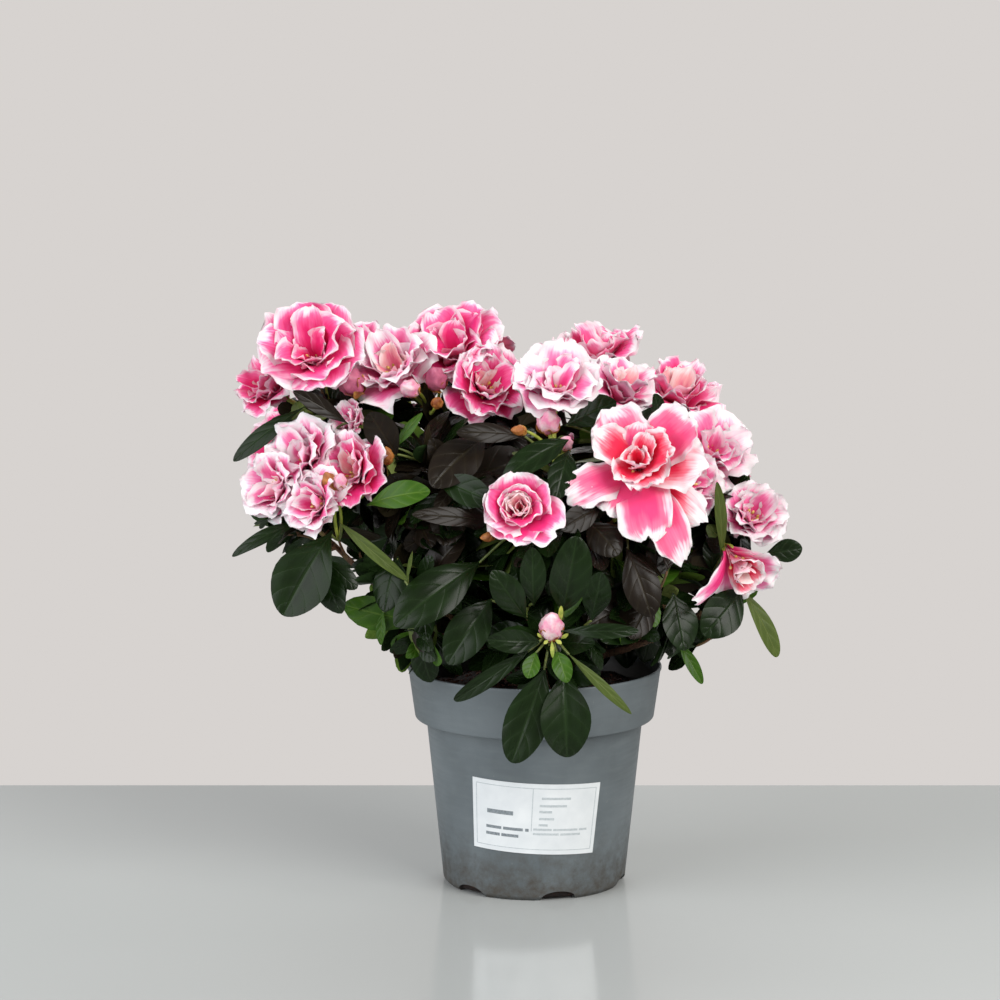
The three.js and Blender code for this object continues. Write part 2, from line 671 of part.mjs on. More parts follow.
// One double flower: a funnel from its throat to a lobed rim, then down over the petals and up to
// the inner petals.
function corolla(centre, face, bloom, turn) {
  const radius = bloom.r;
  const depth = bloomDepth(bloom);
  const spread = radius * lerp(...BLOOM_SPREADS, bloom.open);
  const corners = PETALS * (radius > SMALL_BLOOM ? BLOOM_STEPS : SMALL_BLOOM_STEPS);
  const rings = COROLLA_RINGS.map(({ out, depths, radii, wave }) => {
    const lobe = (round) => 1 - LOBE_DEPTH * wave * (1 - Math.cos(PETALS * (round - turn)));
    const ruffle = (round) => wave * radius * RUFFLE * Math.sin(2 * PETALS * round + turn);
    const outAt = (round) => spread * out * lobe(round);
    const highAt = (round) => depth * depths + radius * radii + ruffle(round);
    return petalRing(centre, face, corners, turn, outAt, highAt);
  });
  const throat = centre.clone().addScaledVector(face, -depth * COROLLA_THROAT);
  return solidOf(closedBody(rings, throat, centre.clone().addScaledVector(face, radius * COROLLA_CUP)));
}

// A closed bud: a five-sided spindle.
function bud(centre, face, radius) {
  const rings = BUD_RINGS.map(([out, high]) =>
    petalRing(centre, face, PETALS, 0, () => radius * out, () => radius * high),
  );
  const foot = centre.clone().addScaledVector(face, -radius * BUD_FOOT);
  return solidOf(closedBody(rings, foot, centre.clone().addScaledVector(face, radius * BUD_TIP)));
}

// Where a head's stalk starts, and which way it points: from the mass's centre to the flowers' middle.
function placeHead(row) {
  const mass = masses.find((entry) => entry.name === row.mass);
  const blooms = row.blooms.map((bloom) => {
    const at = vector(bloom.at);
    const face = bloom.face ? vector(bloom.face) : at.clone().sub(vector(FACED_FROM));
    return { ...bloom, at, face: face.normalize() };
  });
  const sum = blooms.reduce((total, bloom) => total.add(bloom.at), new THREE.Vector3());
  const middle = sum.divideScalar(blooms.length);
  const along = middle.clone().sub(mass.centre).normalize().addScaledVector(UP, HEAD_RISE).normalize();
  const stalk = blooms.every(isBud) ? BUD_STALK_LENGTH : STALK_LENGTH;
  const reach = stalk + Math.max(...blooms.map((bloom) => bloom.r)) * HEAD_SEAT;
  const foot = middle.addScaledVector(along, -reach);
  return { ...row, blooms, along, foot };
}

const heads = HEADS.map(placeHead);

// How far a flower is deep from its rim to its throat.
const bloomDepth = (bloom) => bloom.r * (isBud(bloom) ? 1 : lerp(...BLOOM_DEPTHS, bloom.open));

// A flower head: a stalk that parts into one stalk for each bloom, or one stalk under a single bloom.
function makeHead(head, number) {
  const single = head.blooms.length === 1;
  const hub = head.foot.clone().addScaledVector(head.along, single ? 0 : STALK_LENGTH * HUB_SHARE);
  const solids = single ? [] : [rod(head.foot, hub, HUB_SIDES, STALK_RADIUS)];
  head.blooms.forEach((bloom, index) => {
    const from = hub.clone().addScaledVector(head.along, single ? 0 : -HUB_LAP);
    const face = bloom.face;
    const seat = bloom.at.clone().addScaledVector(face, -bloomDepth(bloom) * BLOOM_SEAT);
    const turn = number + index * GOLDEN_ANGLE;
    solids.push(rod(from, seat, STALK_SIDES, STALK_RADIUS));
    solids.push(isBud(bloom) ? bud(bloom.at, face, bloom.r) : corolla(bloom.at, face, bloom, turn));
  });
  return fuse(solids);
}

const matte = (name, color, roughness) =>
  new THREE.MeshStandardMaterial({ name, color, roughness, metalness: 0 });

const finish = {
  pot: matte("pot_plastic", 0x687075, 0.55),
  soil: matte("peat", 0x3b241b, 1),
  label: matte("label_paper", 0xf2f2ee, 0.6),
  bark: matte("bark", 0x6a4a38, 0.9),
  leaf: matte("leaf_green", 0x1f3a22, 0.45),
  petal: matte("petal_pink", 0xe77fa3, 0.6),
};

const azalea = new THREE.Group();

function addNode(parent, name, solid, material) {
  const mesh = new THREE.Mesh(geometryOf(solid), material);
  mesh.name = name;
  parent.add(mesh);
  take(solid, name);
}

const planter = new THREE.Group();
addNode(planter, "pot", makePot(), finish.pot);
addNode(planter, "soil", makeSoil(), finish.soil);
addNode(planter, "label", makeLabel(), finish.label);

const wood = new THREE.Group();
addNode(wood, "trunk", makeTrunk(0), finish.bark);
const seat = makeTrunk(CLEAR);
for (const mass of masses) {
  addNode(wood, `bough_${mass.name}`, makeBough(mass, seat), finish.bark);
}

const flowers = new THREE.Group();
heads.forEach((head, number) => {
  addNode(flowers, `flowers_${head.name}`, makeHead(head, number), finish.petal);
});

const foliage = new THREE.Group();
const plants = masses.map((mass) => {
  const plant = growTwigs(mass);
  take(fuse(plant.solids), mass.name);
  return plant;
});
for (const plant of plants) {
  const rows = EDGE_LEAVES.filter((row) => row.mass === plant.mass.name);
  for (const row of rows) growEdgeLeaf(plant, row);
  for (const shoot of plant.tips) growWhorl(plant, shoot);
  const solid = fuse([...plant.solids, ...plant.leaves]);
  take(solid, plant.mass.name);
  const mesh = new THREE.Mesh(geometryOf(solid), finish.leaf);
  mesh.name = `foliage_${plant.mass.name}`;
  foliage.add(mesh);
}

azalea.add(planter, wood, foliage, flowers);

export default azalea;
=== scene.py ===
"""A potted azalea in bloom: nursery pot, peat, label, bark, twigs, leaves, double flowers and buds.

Shapes are worked out in millimetres and put in the meshes in metres. +Z is up, the front is -Y, and the
origin is the centre of the pot's underside. The limbs, twigs and leaves grow by the rule that grew the
solids.
"""
import math

import bpy
import numpy as np
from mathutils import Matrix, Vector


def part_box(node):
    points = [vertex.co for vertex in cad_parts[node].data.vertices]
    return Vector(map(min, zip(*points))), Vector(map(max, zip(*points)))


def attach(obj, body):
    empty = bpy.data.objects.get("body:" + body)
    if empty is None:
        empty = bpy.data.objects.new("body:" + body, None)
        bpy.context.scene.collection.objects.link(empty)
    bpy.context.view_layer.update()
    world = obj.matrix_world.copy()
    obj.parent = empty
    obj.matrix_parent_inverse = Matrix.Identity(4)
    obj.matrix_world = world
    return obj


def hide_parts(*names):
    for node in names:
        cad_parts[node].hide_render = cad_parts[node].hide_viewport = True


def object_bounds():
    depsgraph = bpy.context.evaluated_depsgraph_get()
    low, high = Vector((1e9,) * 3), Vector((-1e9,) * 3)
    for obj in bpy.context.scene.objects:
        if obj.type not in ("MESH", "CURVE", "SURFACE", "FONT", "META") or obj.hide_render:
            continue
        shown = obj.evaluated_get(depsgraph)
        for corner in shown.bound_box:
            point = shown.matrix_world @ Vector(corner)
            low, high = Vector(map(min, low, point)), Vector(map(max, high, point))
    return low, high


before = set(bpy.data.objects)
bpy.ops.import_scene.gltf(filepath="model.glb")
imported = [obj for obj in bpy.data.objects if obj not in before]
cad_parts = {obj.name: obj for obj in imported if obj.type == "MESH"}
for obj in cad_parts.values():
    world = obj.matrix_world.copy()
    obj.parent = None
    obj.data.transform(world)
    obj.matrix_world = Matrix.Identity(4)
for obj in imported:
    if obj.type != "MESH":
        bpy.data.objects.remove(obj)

CAD_BOX = [list(corner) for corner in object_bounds()]
MM = 0.001
BOX_LOW, BOX_HIGH = (np.array(corner) / MM for corner in CAD_BOX)
TURN = 2 * math.pi
GOLDEN_ANGLE = math.pi * (3 - math.sqrt(5))
SEEDS = {"soil": 5, "crumbs": 8, "trunk": 3, "sprays": 2024, "leaves": 77, "blooms": 900, "petals": 41,
         "stamens": 52, "scales": 63}
UP = np.array([0.0, 0.0, 1.0])


def box_of(node):
    """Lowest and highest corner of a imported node, in millimetres."""
    return [np.array(corner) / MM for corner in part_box(node)]


# Pot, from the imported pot
RIM_RADIUS, _, POT_HEIGHT = box_of("pot")[1]
COLLAR_HEIGHT = 24.5
COLLAR_FOOT_RADIUS = 56.4
BODY_TOP_RADIUS = 51.2
FOOT_RADIUS = 43.0
POT_WALL = 1.3
FOOT_CHAMFER = 1.6
BEAD_STEP = 0.5
BEAD_HEIGHT = 1.4
BEAD_FOOT = 2.2
LEDGE = POT_HEIGHT - COLLAR_HEIGHT
NOTCHES = 6
NOTCH_WIDTH = 17.0
NOTCH_HEIGHT = 4.4
NOTCH_REACH = (FOOT_RADIUS - 6, FOOT_RADIUS + 6)
NOTCH_SILL = 3.0
NOTCH_TURN = 0.26
POT_FACETS = 144
POT_CREASE = math.radians(34)
CLEAR = 0.3

# Rounding of the pot's corners, by their number in its profile
POT_ARCS = {2: 1.0, 3: 0.7, 4: 0.8, 7: 0.55, 8: 0.4, 9: 0.5}

# Painted shade and splashed soil up the foot to this height; painted shade inside the collar up to this far
# under the rim
FOOT_SHADE_AND_SOIL_HEIGHT = 36.0
INSIDE_SHADE_DROP = 8.0

# Soil
SOIL_TOP = box_of("soil")[1][2]
SOIL_EDGE_DROP = 2.5
SOIL_SUNK = 0.6
SOIL_LEVEL_TO = 14.0
SOIL_FALL_ACROSS = 42.0
SOIL_RADIUS = 54.5
SOIL_RINGS = 46
SOIL_FACETS = 132
CRUMBS = 900
CRUMBS_FROM = 9.0
CRUMB_SIZES = (0.35, 1.5)
FIBRES = 130
FIBRES_FROM = 10.0
FIBRE_LENGTHS = (3.0, 11.0)
FIBRE_RADII = (0.16, 0.42)

# Mounds and hollows: length and height of each set of waves
SOIL_WAVES = ((31, 0.55), (17, 0.5), (9, 0.42), (5.5, 0.3), (3.4, 0.22))

# Label
LABEL_WIDTH = 61.0
LABEL_HEIGHT = 34.0
LABEL_CENTRE_Z = 40.3
LABEL_TURN = -0.05
LABEL_CELL = (1.2, 6.0)
LABEL_CREASE = 0.6
PAPER_LIFTS = (0.05, 0.36)
PRINT_LIFTS = (0.3, 0.42)
FRAME_WIDTH = 57.0
FRAME_HEIGHT = 29.6
RULE = 0.32
UPRIGHT_RULE = (-1.6, 4.4, RULE, 20.8)

# Trunk and limbs
TRUNK_LINE = [(0, 0, SOIL_TOP + CLEAR), (0, 0, SOIL_TOP + 5), (2, -1, 112), (1, 2, 128)]
TRUNK_RADIUS = 5.0
TRUNK_TOP_RADIUS = 4.2
TRUNK_FLARE = 0.9
FLARE_HEIGHT = 5.0
FLARE_RIDGES = 5
TRUNK_STEPS = 34
TRUNK_SIDES = 22
TRUNK_RELIEF = 0.7
BARK_WAVES = ((7.0, 0.5), (3.3, 0.3), (1.6, 0.25))
BOUGH_STEPS = 26
BOUGH_SIDES = 11
BOUGH_RELIEF = 0.3
BOUGH_SWAY = 0.9
BOUGH_KNUCKLE = 0.09
BOUGH_FLARE = 0.6
BOUGH_RADIUS = 2.3
BOUGH_TIP_RADIUS = 1.7
BOUGH_REACH = 0.5
BEND_ACROSS = (0.62, 0.45)
BEND_UP = 0.12
BEND_UP_BY_TIER = 0.25
BEND_LIFT = 3.0
BOUGH_LOWEST = 0.25
BOUGH_HIGHEST = 0.86
STEM_LENGTH = 9.0
TWIG_REACH = 0.36
TWIG_SPREAD = 1.5
TWIG_STEPS = 9
STEM_RADII = (1.45, 1.3)
SHOOT_RADII = (1.15, 0.85)
INNER_RADII = (0.85, 0.6)
FINE_RADII = (0.75, 0.55)
INNER_LENGTHS = (9.0, 20.0)
SIDE_LENGTHS = (7.0, 13.0)
HEAD_STALK_RADII = (1.1, 1.1)
BLOOM_STALK_RADII = (0.95, 1.05)
BUD_STALK_RADII = (0.8, 0.75)
STALK_LENGTH = 17.0
BUD_STALK_LENGTH = 6.0
FACED_FROM = np.array([0.0, 15.0, 150.0])
SPACE_REACH = 1.5
SPACE_SHARED = 0.5

# Leaves
LEAF_LENGTHS = (28.0, 43.0)
SMALL_LEAF_LENGTHS = (19.0, 33.0)
LEAF_WIDTH_SHARE = 0.47

# Least and most of a leaf's arc, its twist, where it is widest, how bluntly it ends, and how it folds up from
# the midrib and turns down again
LEAF_FORM = {"arc": (0.2, 1.0), "twist": (-0.45, 0.45), "widest": (1.1, 1.45), "blunt": (0.62, 0.8),
             "fold": (0.08, 0.34), "down": (0.0, 0.3)}
LEAF_WAVE = 0.06

# How leaves sit in a whorl, and where along them they are looked at for what they run into
LEAF_OPENING = (0.55, 1.55)
LEAF_HANG = 0.22
LEAF_APART = 1.3
LEAF_SAMPLES = (0.35, 0.6, 0.8, 1.0)
LEAF_THICK = 0.45
SINGLE_STEPS = (18, 9)

# Leaves in a whorl, and finer twigs on a shoot and on a bough
WHORL = 7
SIDE_WHORL = 6
SIDE_TWIGS = 4
SIDE_FROM = 0.35
SIDE_APART = 0.22
INNER_TWIGS = 5

# Room that leaves keep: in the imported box, round the pot, inside its rim, under the soil's height where they
# hang outside it, and before flowers and single leaves
KEPT_INSIDE = 1.0
POT_ROOM = 1.5
RIM_ROOM = 4.0
HANG_LOWEST = 10.0
FLOWER_VIEW = 40.0
LEAF_VIEW = 30.0

# Tints of leaves: the share of sprays that each has, and how that shifts with height on the crown
TINTS = ("dark", "bronze", "fresh", "olive")
TINT_SHARES = np.array([0.8, 0.08, 0.07, 0.05])
TINT_SHIFTS = np.array([-0.52, 0.5, 0.0, 0.0])
BRONZE_FROM = 150.0
BRONZE_RISE = 60.0

# The crown's lower edge rises outwards: its height over the middle, where the rise starts, and its slope.
SKIRT_HEIGHT = 95.0
SKIRT_START = 58.0
SKIRT_SLOPE = 0.95

# No foliage reaches further right than this above the lowest flowers there.
RIGHT_EDGE = 101.0
RIGHT_EDGE_FROM = 150.0

# The soil shows through a gap at the front right: its sides, its height at the trunk, its rise to the front.
GAP_SIDES = (31.0, 51.0)
GAP_HEIGHT = 113.0
GAP_RISE = 0.2
GAP_BACK = -12.0

# Flowers
CLOSED = 0.1
BUD_OPEN = 0.2
LARGE_BLOOM = 24.0
TO_WINDOW = np.array([0.0, -1.0, 0.25])
WINDOW_LEAN = 0.55
WINDOW_SIDE = 60.0
BLOOM_SWELL = 1.18
PETAL_THICK = 0.28
PETAL_TINTS = ("rose", "pale", "coral", "cream", "blush")
SCALE_THICK = 0.25

# A petal's angle to the axis in the throat, how evenly it bends, how high its keel is, how a ring sits in the
# next one, and how deep a bloom is when closed and open
THROAT_ANGLE = 0.16
PETAL_BEND = (0.75, 1.25)
KEEL = 0.14
RING_STEP = 0.06
BLOOM_DEPTHS = (0.95, 0.3)

# Petals of small and large flowers: steps along and across, where they are widest, and how bluntly they end
PETAL_FORMS = {False: (13, 13, 0.62, 2.3), True: (26, 27, 0.7, 3.4)}

# Buds: sides, and the height, number and winding of their ridges
BUD_SIDES = 20
BUD_RIDGES = (0.12, 5, 2.2)

# Scales of a bud and lobes of a calyx: how many, their least and most length and their spread, in radii
BUD_SCALES = (8, 0.9, 1.9, 1.05)
CALYX_LOBES = (5, 1.6, 2.4, 1.1)

# Stamens
STAMENS_FROM = 0.6
FILAMENTS = 8
FILAMENT_RADIUS = 0.3
FILAMENT_SPREAD = (0.12, 0.26)
FILAMENT_RISE = (0.12, 0.34)
ANTHER_HALF = 1.1
ANTHER_RADII = (0.25, 0.62, 0.75, 0.62, 0.25)

# Masses of foliage, as in the solids. tier is where the bough leaves the trunk, from the soil to the crotch.
MASS_FIELDS = ("name", "centre", "reach", "shoots", "tier", "seed")
MASSES = [dict(zip(MASS_FIELDS, row)) for row in (
    ("front_low", (6, -54, 126), 38, 3, 0.0, 11),
    ("left_low", (-50, -36, 138), 38, 5, 0.02, 12),
    ("left_drop", (-104, -34, 170), 40, 3, 0.22, 13),
    ("left_high", (-88, 8, 214), 42, 5, 0.6, 14),
    ("centre_left", (-42, -24, 190), 36, 5, 0.84, 15),
    ("centre", (10, -40, 172), 35, 5, 1.0, 16),
    ("top_mid", (-20, 24, 208), 38, 5, 1.0, 17),
    ("right_front", (52, -40, 142), 36, 5, 0.22, 18),
    ("right_low", (88, -16, 132), 38, 4, 0.02, 19),
    ("right_high", (92, 8, 172), 36, 4, 0.42, 20),
    ("top_right", (44, 8, 192), 34, 4, 0.9, 25),
    ("back_right", (56, 58, 186), 42, 4, 0.72, 21),
    ("back_mid", (-6, 76, 176), 42, 3, 0.18, 22),
    ("back_left", (-66, 56, 184), 42, 3, 0.38, 23),
    ("back_low", (14, 58, 128), 40, 4, 0.02, 24),
)]

# Flower heads, as in the solids. A bloom has its centre, radius, how far it is open, and its tint.
HEADS = [
    ("upper_left", "left_high", [((-101, 0, 247), 22.5, 1.0, "rose", (-0.2, -0.75, 0.6)),
                                 ((-122, 4, 234), 15, 0.6, "rose"), ((-86, -16, 241), 6, 0.1, "rose")]),
    ("small_left", "left_high", [((-85, -15, 221), 10, 0.4, "pale")]),
    ("upper_inner_left", "top_mid", [((-63, -2, 241), 19, 0.8, "pale")]),
    ("upper_mid", "top_mid", [((-37, 12, 246), 22, 1.0, "rose", (-0.2, -0.6, 0.75)),
                              ((-24, -4, 233), 18, 0.8, "rose", (0.2, -0.75, 0.55))]),
    ("top_centre", "centre", [((10, -24, 235), 19, 0.9, "pale"), ((6, -38, 225), 5.2, 0.1, "pale")]),
    ("crown_mid", "top_right", [((40, 24, 228), 17, 0.7, "pale")]),
    ("back_centre", "back_mid", [((32, 82, 234), 21, 0.9, "rose", (-0.1, -0.3, 0.9))]),
    ("back_right", "back_right", [((68, 66, 216), 20, 0.9, "rose", (0.15, -0.35, 0.9))]),
    ("right_mid", "right_high", [((80, -2, 202), 19, 0.8, "pale", (0.25, -0.65, 0.65))]),
    ("front_right", "centre", [((47, -46, 203), 33, 1.0, "coral", (-0.1, -0.85, 0.5)),
                               ((69, -30, 194), 14, 0.8, "pale")]),
    ("front_centre", "centre", [((-7, -57, 186), 18, 0.5, "rose")]),
    ("left", "left_drop", [((-103, -22, 203), 18, 0.9, "pale"), ((-81, -36, 200), 17, 0.7, "rose"),
                           ((-98, -44, 187), 15, 0.7, "pale"), ((-116, -28, 191), 16, 0.7, "pale")]),
    ("right", "right_high", [((99, -16, 175), 15, 0.7, "pale", (0.3, -0.75, 0.6))]),
    ("right_low", "right_high", [((91, -38, 161), 17, 0.6, "coral", (0.35, -0.8, -0.45))]),
    ("front_bud", "front_low", [((7, -77, 137), 5.4, 0.1, "pale", (0.05, -0.6, 0.8))]),
    ("rear_upper_left", "back_left", [((-86, 52, 234), 22, 1.0, "rose"), ((-66, 78, 226), 17, 0.7, "pale")]),
    ("rear_top", "top_mid", [((-30, 64, 235), 20, 0.9, "coral")]),
    ("rear_left", "back_left", [((-112, 42, 200), 20, 0.9, "rose")]),
    ("rear_low_left", "back_left", [((-74, 94, 180), 20, 0.9, "pale")]),
    ("rear_mid", "back_mid", [((-16, 108, 204), 22, 1.0, "rose"), ((10, 112, 184), 16, 0.7, "rose")]),
    ("rear_right", "back_right", [((84, 58, 184), 18, 0.9, "rose")]),
    ("rear_low_right", "back_right", [((64, 100, 180), 20, 0.8, "pale")]),
]

# Leaves that show singly at the front and the crown's edge, by tint: root, tip, width.
SINGLE_LEAVES = {
    "dark": [
        (4, -79, 118, -11, -82, 75, 20), (12, -79, 116, 14, -84, 78, 23), (2, -79, 130, -22, -89, 133, 11),
        (-3, -78, 126, -37, -74, 102, 8), (11, -79, 135, 46, -84, 136, 7), (-4, -72, 139, -20, -82, 163, 14),
        (-1, -72, 145, -2, -80, 173, 12), (12, -70, 142, 18, -78, 178, 19), (25, -68, 137, 29, -80, 162, 13),
        (-25, -52, 162, -64, -72, 136, 23), (-63, -44, 163, -69, -54, 139, 17),
        (-20, -58, 146, -40, -70, 118, 19), (95, -34, 146, 77, -48, 127, 19),
        (106, -22, 160, 124, -22, 163, 11), (63, -44, 146, 68, -54, 121, 18),
        (-93, -46, 175, -115, -58, 138, 28), (-107, -12, 228, -140, -16, 203, 10),
        (-108, -38, 178, -139, -44, 163, 7), (-48, -48, 201, -19, -62, 191, 14),
        (15, -44, 217, -15, -60, 201, 14), (15, -44, 212, 9, -62, 192, 13), (59, -14, 218, 55, -20, 235, 9),
        (14, 2, 217, 38, -4, 229, 16), (40, 26, 130, 44, 14, 99, 18), (56, 20, 128, 52, 8, 103, 17),
        (50, 34, 132, 57, 18, 108, 17),
    ],
    "bronze": [
        (41, -62, 170, 52, -72, 140, 17), (24, -58, 181, 37, -70, 168, 16), (30, -58, 189, 11, -72, 180, 12),
        (-86, -28, 222, -111, -34, 238, 8), (-63, -34, 208, -76, -42, 229, 15),
        (-20, -54, 181, -56, -66, 186, 9), (-23, -34, 217, -47, -56, 197, 21),
        (-4, -40, 218, -36, -50, 221, 10), (26, 30, 126, 32, 20, 98, 17),
    ],
    "fresh": [
        (0, -80, 126, -4, -87, 115, 8), (9, -80, 126, 14, -87, 113, 9), (-70, -44, 138, -71, -46, 122, 5),
        (66, -38, 122, 77, -42, 103, 6), (-65, -34, 211, -52, -34, 228, 6),
        (-77, -46, 187, -48, -56, 195, 13),
    ],
    "olive": [
        (14, -79, 125, 43, -80, 97, 5), (95, -30, 146, 112, -34, 114, 9), (86, -30, 159, 83, -40, 197, 6),
        (-90, -44, 179, -58, -52, 153, 6),
    ],
}

# Lines that the large bloom's two longest petals lie along, kept clear of leaves as the single leaves are.
LONG_PETALS = [(44, -56, 192, 61, -56, 160, 26), (34, -46, 202, 12, -46, 192, 24)]
KEPT_CLEAR = [row for rows in SINGLE_LEAVES.values() for row in rows] + LONG_PETALS

# Small buds among the leaves: centre, radius, tint, the way they point, and about where their stalk starts.
EXTRA_BUDS = [
    ((-46, -16, 242), 5.0, "rose", (-0.1, -0.6, 0.5), (-42, 4, 230)),
    ((-58, -22, 238), 4.2, "pale", (-0.4, -0.7, 0.3), (-50, 0, 228)),
    ((-45, -28, 232), 2.6, "brown", (0.2, -0.7, 0.5), (-40, -4, 224)),
    ((14, -40, 215), 3.2, "pale", (0.2, -0.7, 0.5), (14, -34, 200)),
    ((-89, -52, 199), 3.2, "pale", (0.2, -0.6, 0.8), (-82, -44, 176)),
    ((-94, -50, 199), 3.4, "brown", (-0.3, -0.5, 0.8), (-88, -42, 176)),
    ((-68, -38, 209), 3.0, "brown", (-0.1, -0.4, 0.9), (-66, -32, 190)),
    ((-8, -42, 221), 2.4, "brown", (-0.9, -0.4, 0.1), (0, -30, 214)),
    ((-22, -62, 175), 2.2, "brown", (-0.95, -0.2, -0.1), (-10, -50, 172)),
    ((-48, 92, 214), 4.2, "rose", (-0.2, 0.7, 0.6), (-44, 84, 200)),
    ((40, 96, 205), 3.6, "pale", (0.2, 0.8, 0.4), (36, 88, 194)),
]

# Yellow-green bracts round the bud in front: root, tip, upper side, width.
BRACTS = [
    ((10.5, -77.5, 137), (11.2, -79, 146.5), (0.3, -1, 0), 2.3),
    ((11, -79, 131.5), (14.4, -80, 134), (0.2, -1, 0), 1.9),
    ((2.5, -79, 132), (0.6, -80, 134.2), (-0.2, -1, 0), 1.5),
    ((7, -79.5, 131), (7.4, -83, 123.5), (0, -1, -0.2), 2.0),
    ((8.5, -79.5, 131), (11.4, -81, 129.6), (0.2, -1, 0.2), 1.9),
    ((5.5, -79.5, 131), (3.4, -81, 129.4), (-0.2, -1, 0.2), 1.7),
]

CENTRES = np.array([mass["centre"] for mass in MASSES], float)
REACHES = np.array([mass["reach"] for mass in MASSES], float)


# Small vector sums


def unit(vectors):
    """Vectors, or an array of them, at length 1."""
    vectors = np.asarray(vectors, float)
    return vectors / np.maximum(np.linalg.norm(vectors, axis=-1, keepdims=True), 1e-9)


def across_of(axes):
    """Two arrays of directions that make right-handed sets with the axes."""
    axes = np.atleast_2d(axes)
    helper = np.where(np.abs(axes[:, 2:]) < 0.9, UP, [1.0, 0.0, 0.0])
    first = unit(np.cross(helper, axes))
    return first, unit(np.cross(axes, first))


def lerp(low, high, share):
    """The value a share of the way from low to high."""
    return low + (high - low) * share


def seeded(seed):
    """Repeatable numbers from 0 to 1, by the rule that grew the solids."""
    state = (seed * 7919) & 0xFFFFFFFF
    while True:
        state = (state * 1664525 + 1013904223) & 0xFFFFFFFF
        yield state / 4294967296


def seeded_by(name, number=0):
    """The random draws of one kind of thing."""
    return np.random.default_rng(SEEDS[name] + number)


def bezier(corners, shares):
    """Points on a Bezier curve through its control corners, by repeated halfway sums."""
    points = [np.asarray(corner, float)[None, :] for corner in corners]
    shares = np.asarray(shares, float)[:, None]
    while len(points) > 1:
        points = [lerp(low, high, shares) for low, high in zip(points, points[1:])]
    return points[0]


def even(points, shares):
    """Points at shares of a line's length."""
    steps = np.linalg.norm(np.diff(points, axis=0), axis=1)
    run = np.concatenate([[0.0], np.cumsum(steps)]) / steps.sum()
    return np.stack([np.interp(shares, run, points[:, axis]) for axis in range(3)], axis=1)


def curve(corners, shares, steps=60):
    """Points at shares of a Bezier curve's length."""
    return even(bezier(corners, np.linspace(0, 1, steps)), shares)


def turned_from(axis, polar, turn):
    """The direction at an angle from an axis, turned about it."""
    first, second = across_of(axis)
    return (axis * math.cos(polar) + first[0] * math.sin(polar) * math.cos(turn)
            + second[0] * math.sin(polar) * math.sin(turn))


def nearest(spots, place):
    """The spot that is nearest to a place."""
    return spots[np.argmin(np.linalg.norm(spots - place, axis=1))]


# Meshes


def linked(name, data):
    """A new object in the scene."""
    item = bpy.data.objects.new(name, data)
    bpy.context.scene.collection.objects.link(item)
    return item


def new_object(name, corners, faces):
    """A plain object from lists of corners, in metres, and faces."""
    mesh = bpy.data.meshes.new(name)
    mesh.from_pydata(corners, [], faces)
    return linked(name, mesh)


def build_piece(name, shape, finish_name, nodes=(), smooth=True, crease=None):
    """A mesh object from a shape: an array of points in millimetres, then arrays of faces, as whole numbers,
    and where a pattern follows a map, each face corner's place on it."""
    points = shape[0]
    faces = [part for part in shape[1:] if part.dtype.kind == "i"]
    mesh = bpy.data.meshes.new(name)
    counts = np.concatenate([np.full(len(rows), rows.shape[1]) for rows in faces])
    corners = np.concatenate([rows.ravel() for rows in faces])
    mesh.vertices.add(len(points))
    mesh.vertices.foreach_set("co", (points * MM).astype(np.float32).ravel())
    mesh.loops.add(len(corners))
    mesh.loops.foreach_set("vertex_index", corners.astype(np.int32))
    mesh.polygons.add(len(counts))
    mesh.polygons.foreach_set("loop_start", np.concatenate([[0], np.cumsum(counts)[:-1]]).astype(np.int32))
    mesh.polygons.foreach_set("use_smooth", np.full(len(counts), smooth))
    if len(faces) < len(shape) - 1:
        layer = mesh.uv_layers.new(name="OFBake")
        layer.uv.foreach_set("vector", shape[-1].astype(np.float32).ravel())
    mesh.update(calc_edges=True)
    mesh.validate()
    if crease is not None:
        mesh.set_sharp_from_angle(angle=crease)
    mesh.materials.append(FINISH[finish_name])
    piece = linked(name, mesh)
    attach(piece, "root")
    if nodes:
        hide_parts(*nodes)
    return piece


def ring_faces(rings, sides):
    """The quads between neighbouring rings of points, and the two ends as whole faces."""
    low = (np.arange(rings - 1)[:, None] * sides + np.arange(sides)).ravel()
    turned = (np.arange(rings - 1)[:, None] * sides + (np.arange(sides) + 1) % sides).ravel()
    ends = np.stack([np.arange(sides)[::-1], (rings - 1) * sides + np.arange(sides)])
    return np.stack([low, turned, turned + sides, low + sides], axis=1), ends


def grid_faces(rows, columns):
    """The numbers of a grid's points, and its quads."""
    spot = np.arange(rows * columns).reshape(rows, columns)
    quads = np.stack([spot[:-1, :-1], spot[1:, :-1], spot[1:, 1:], spot[:-1, 1:]], axis=-1)
    return spot, quads.reshape(-1, 4)


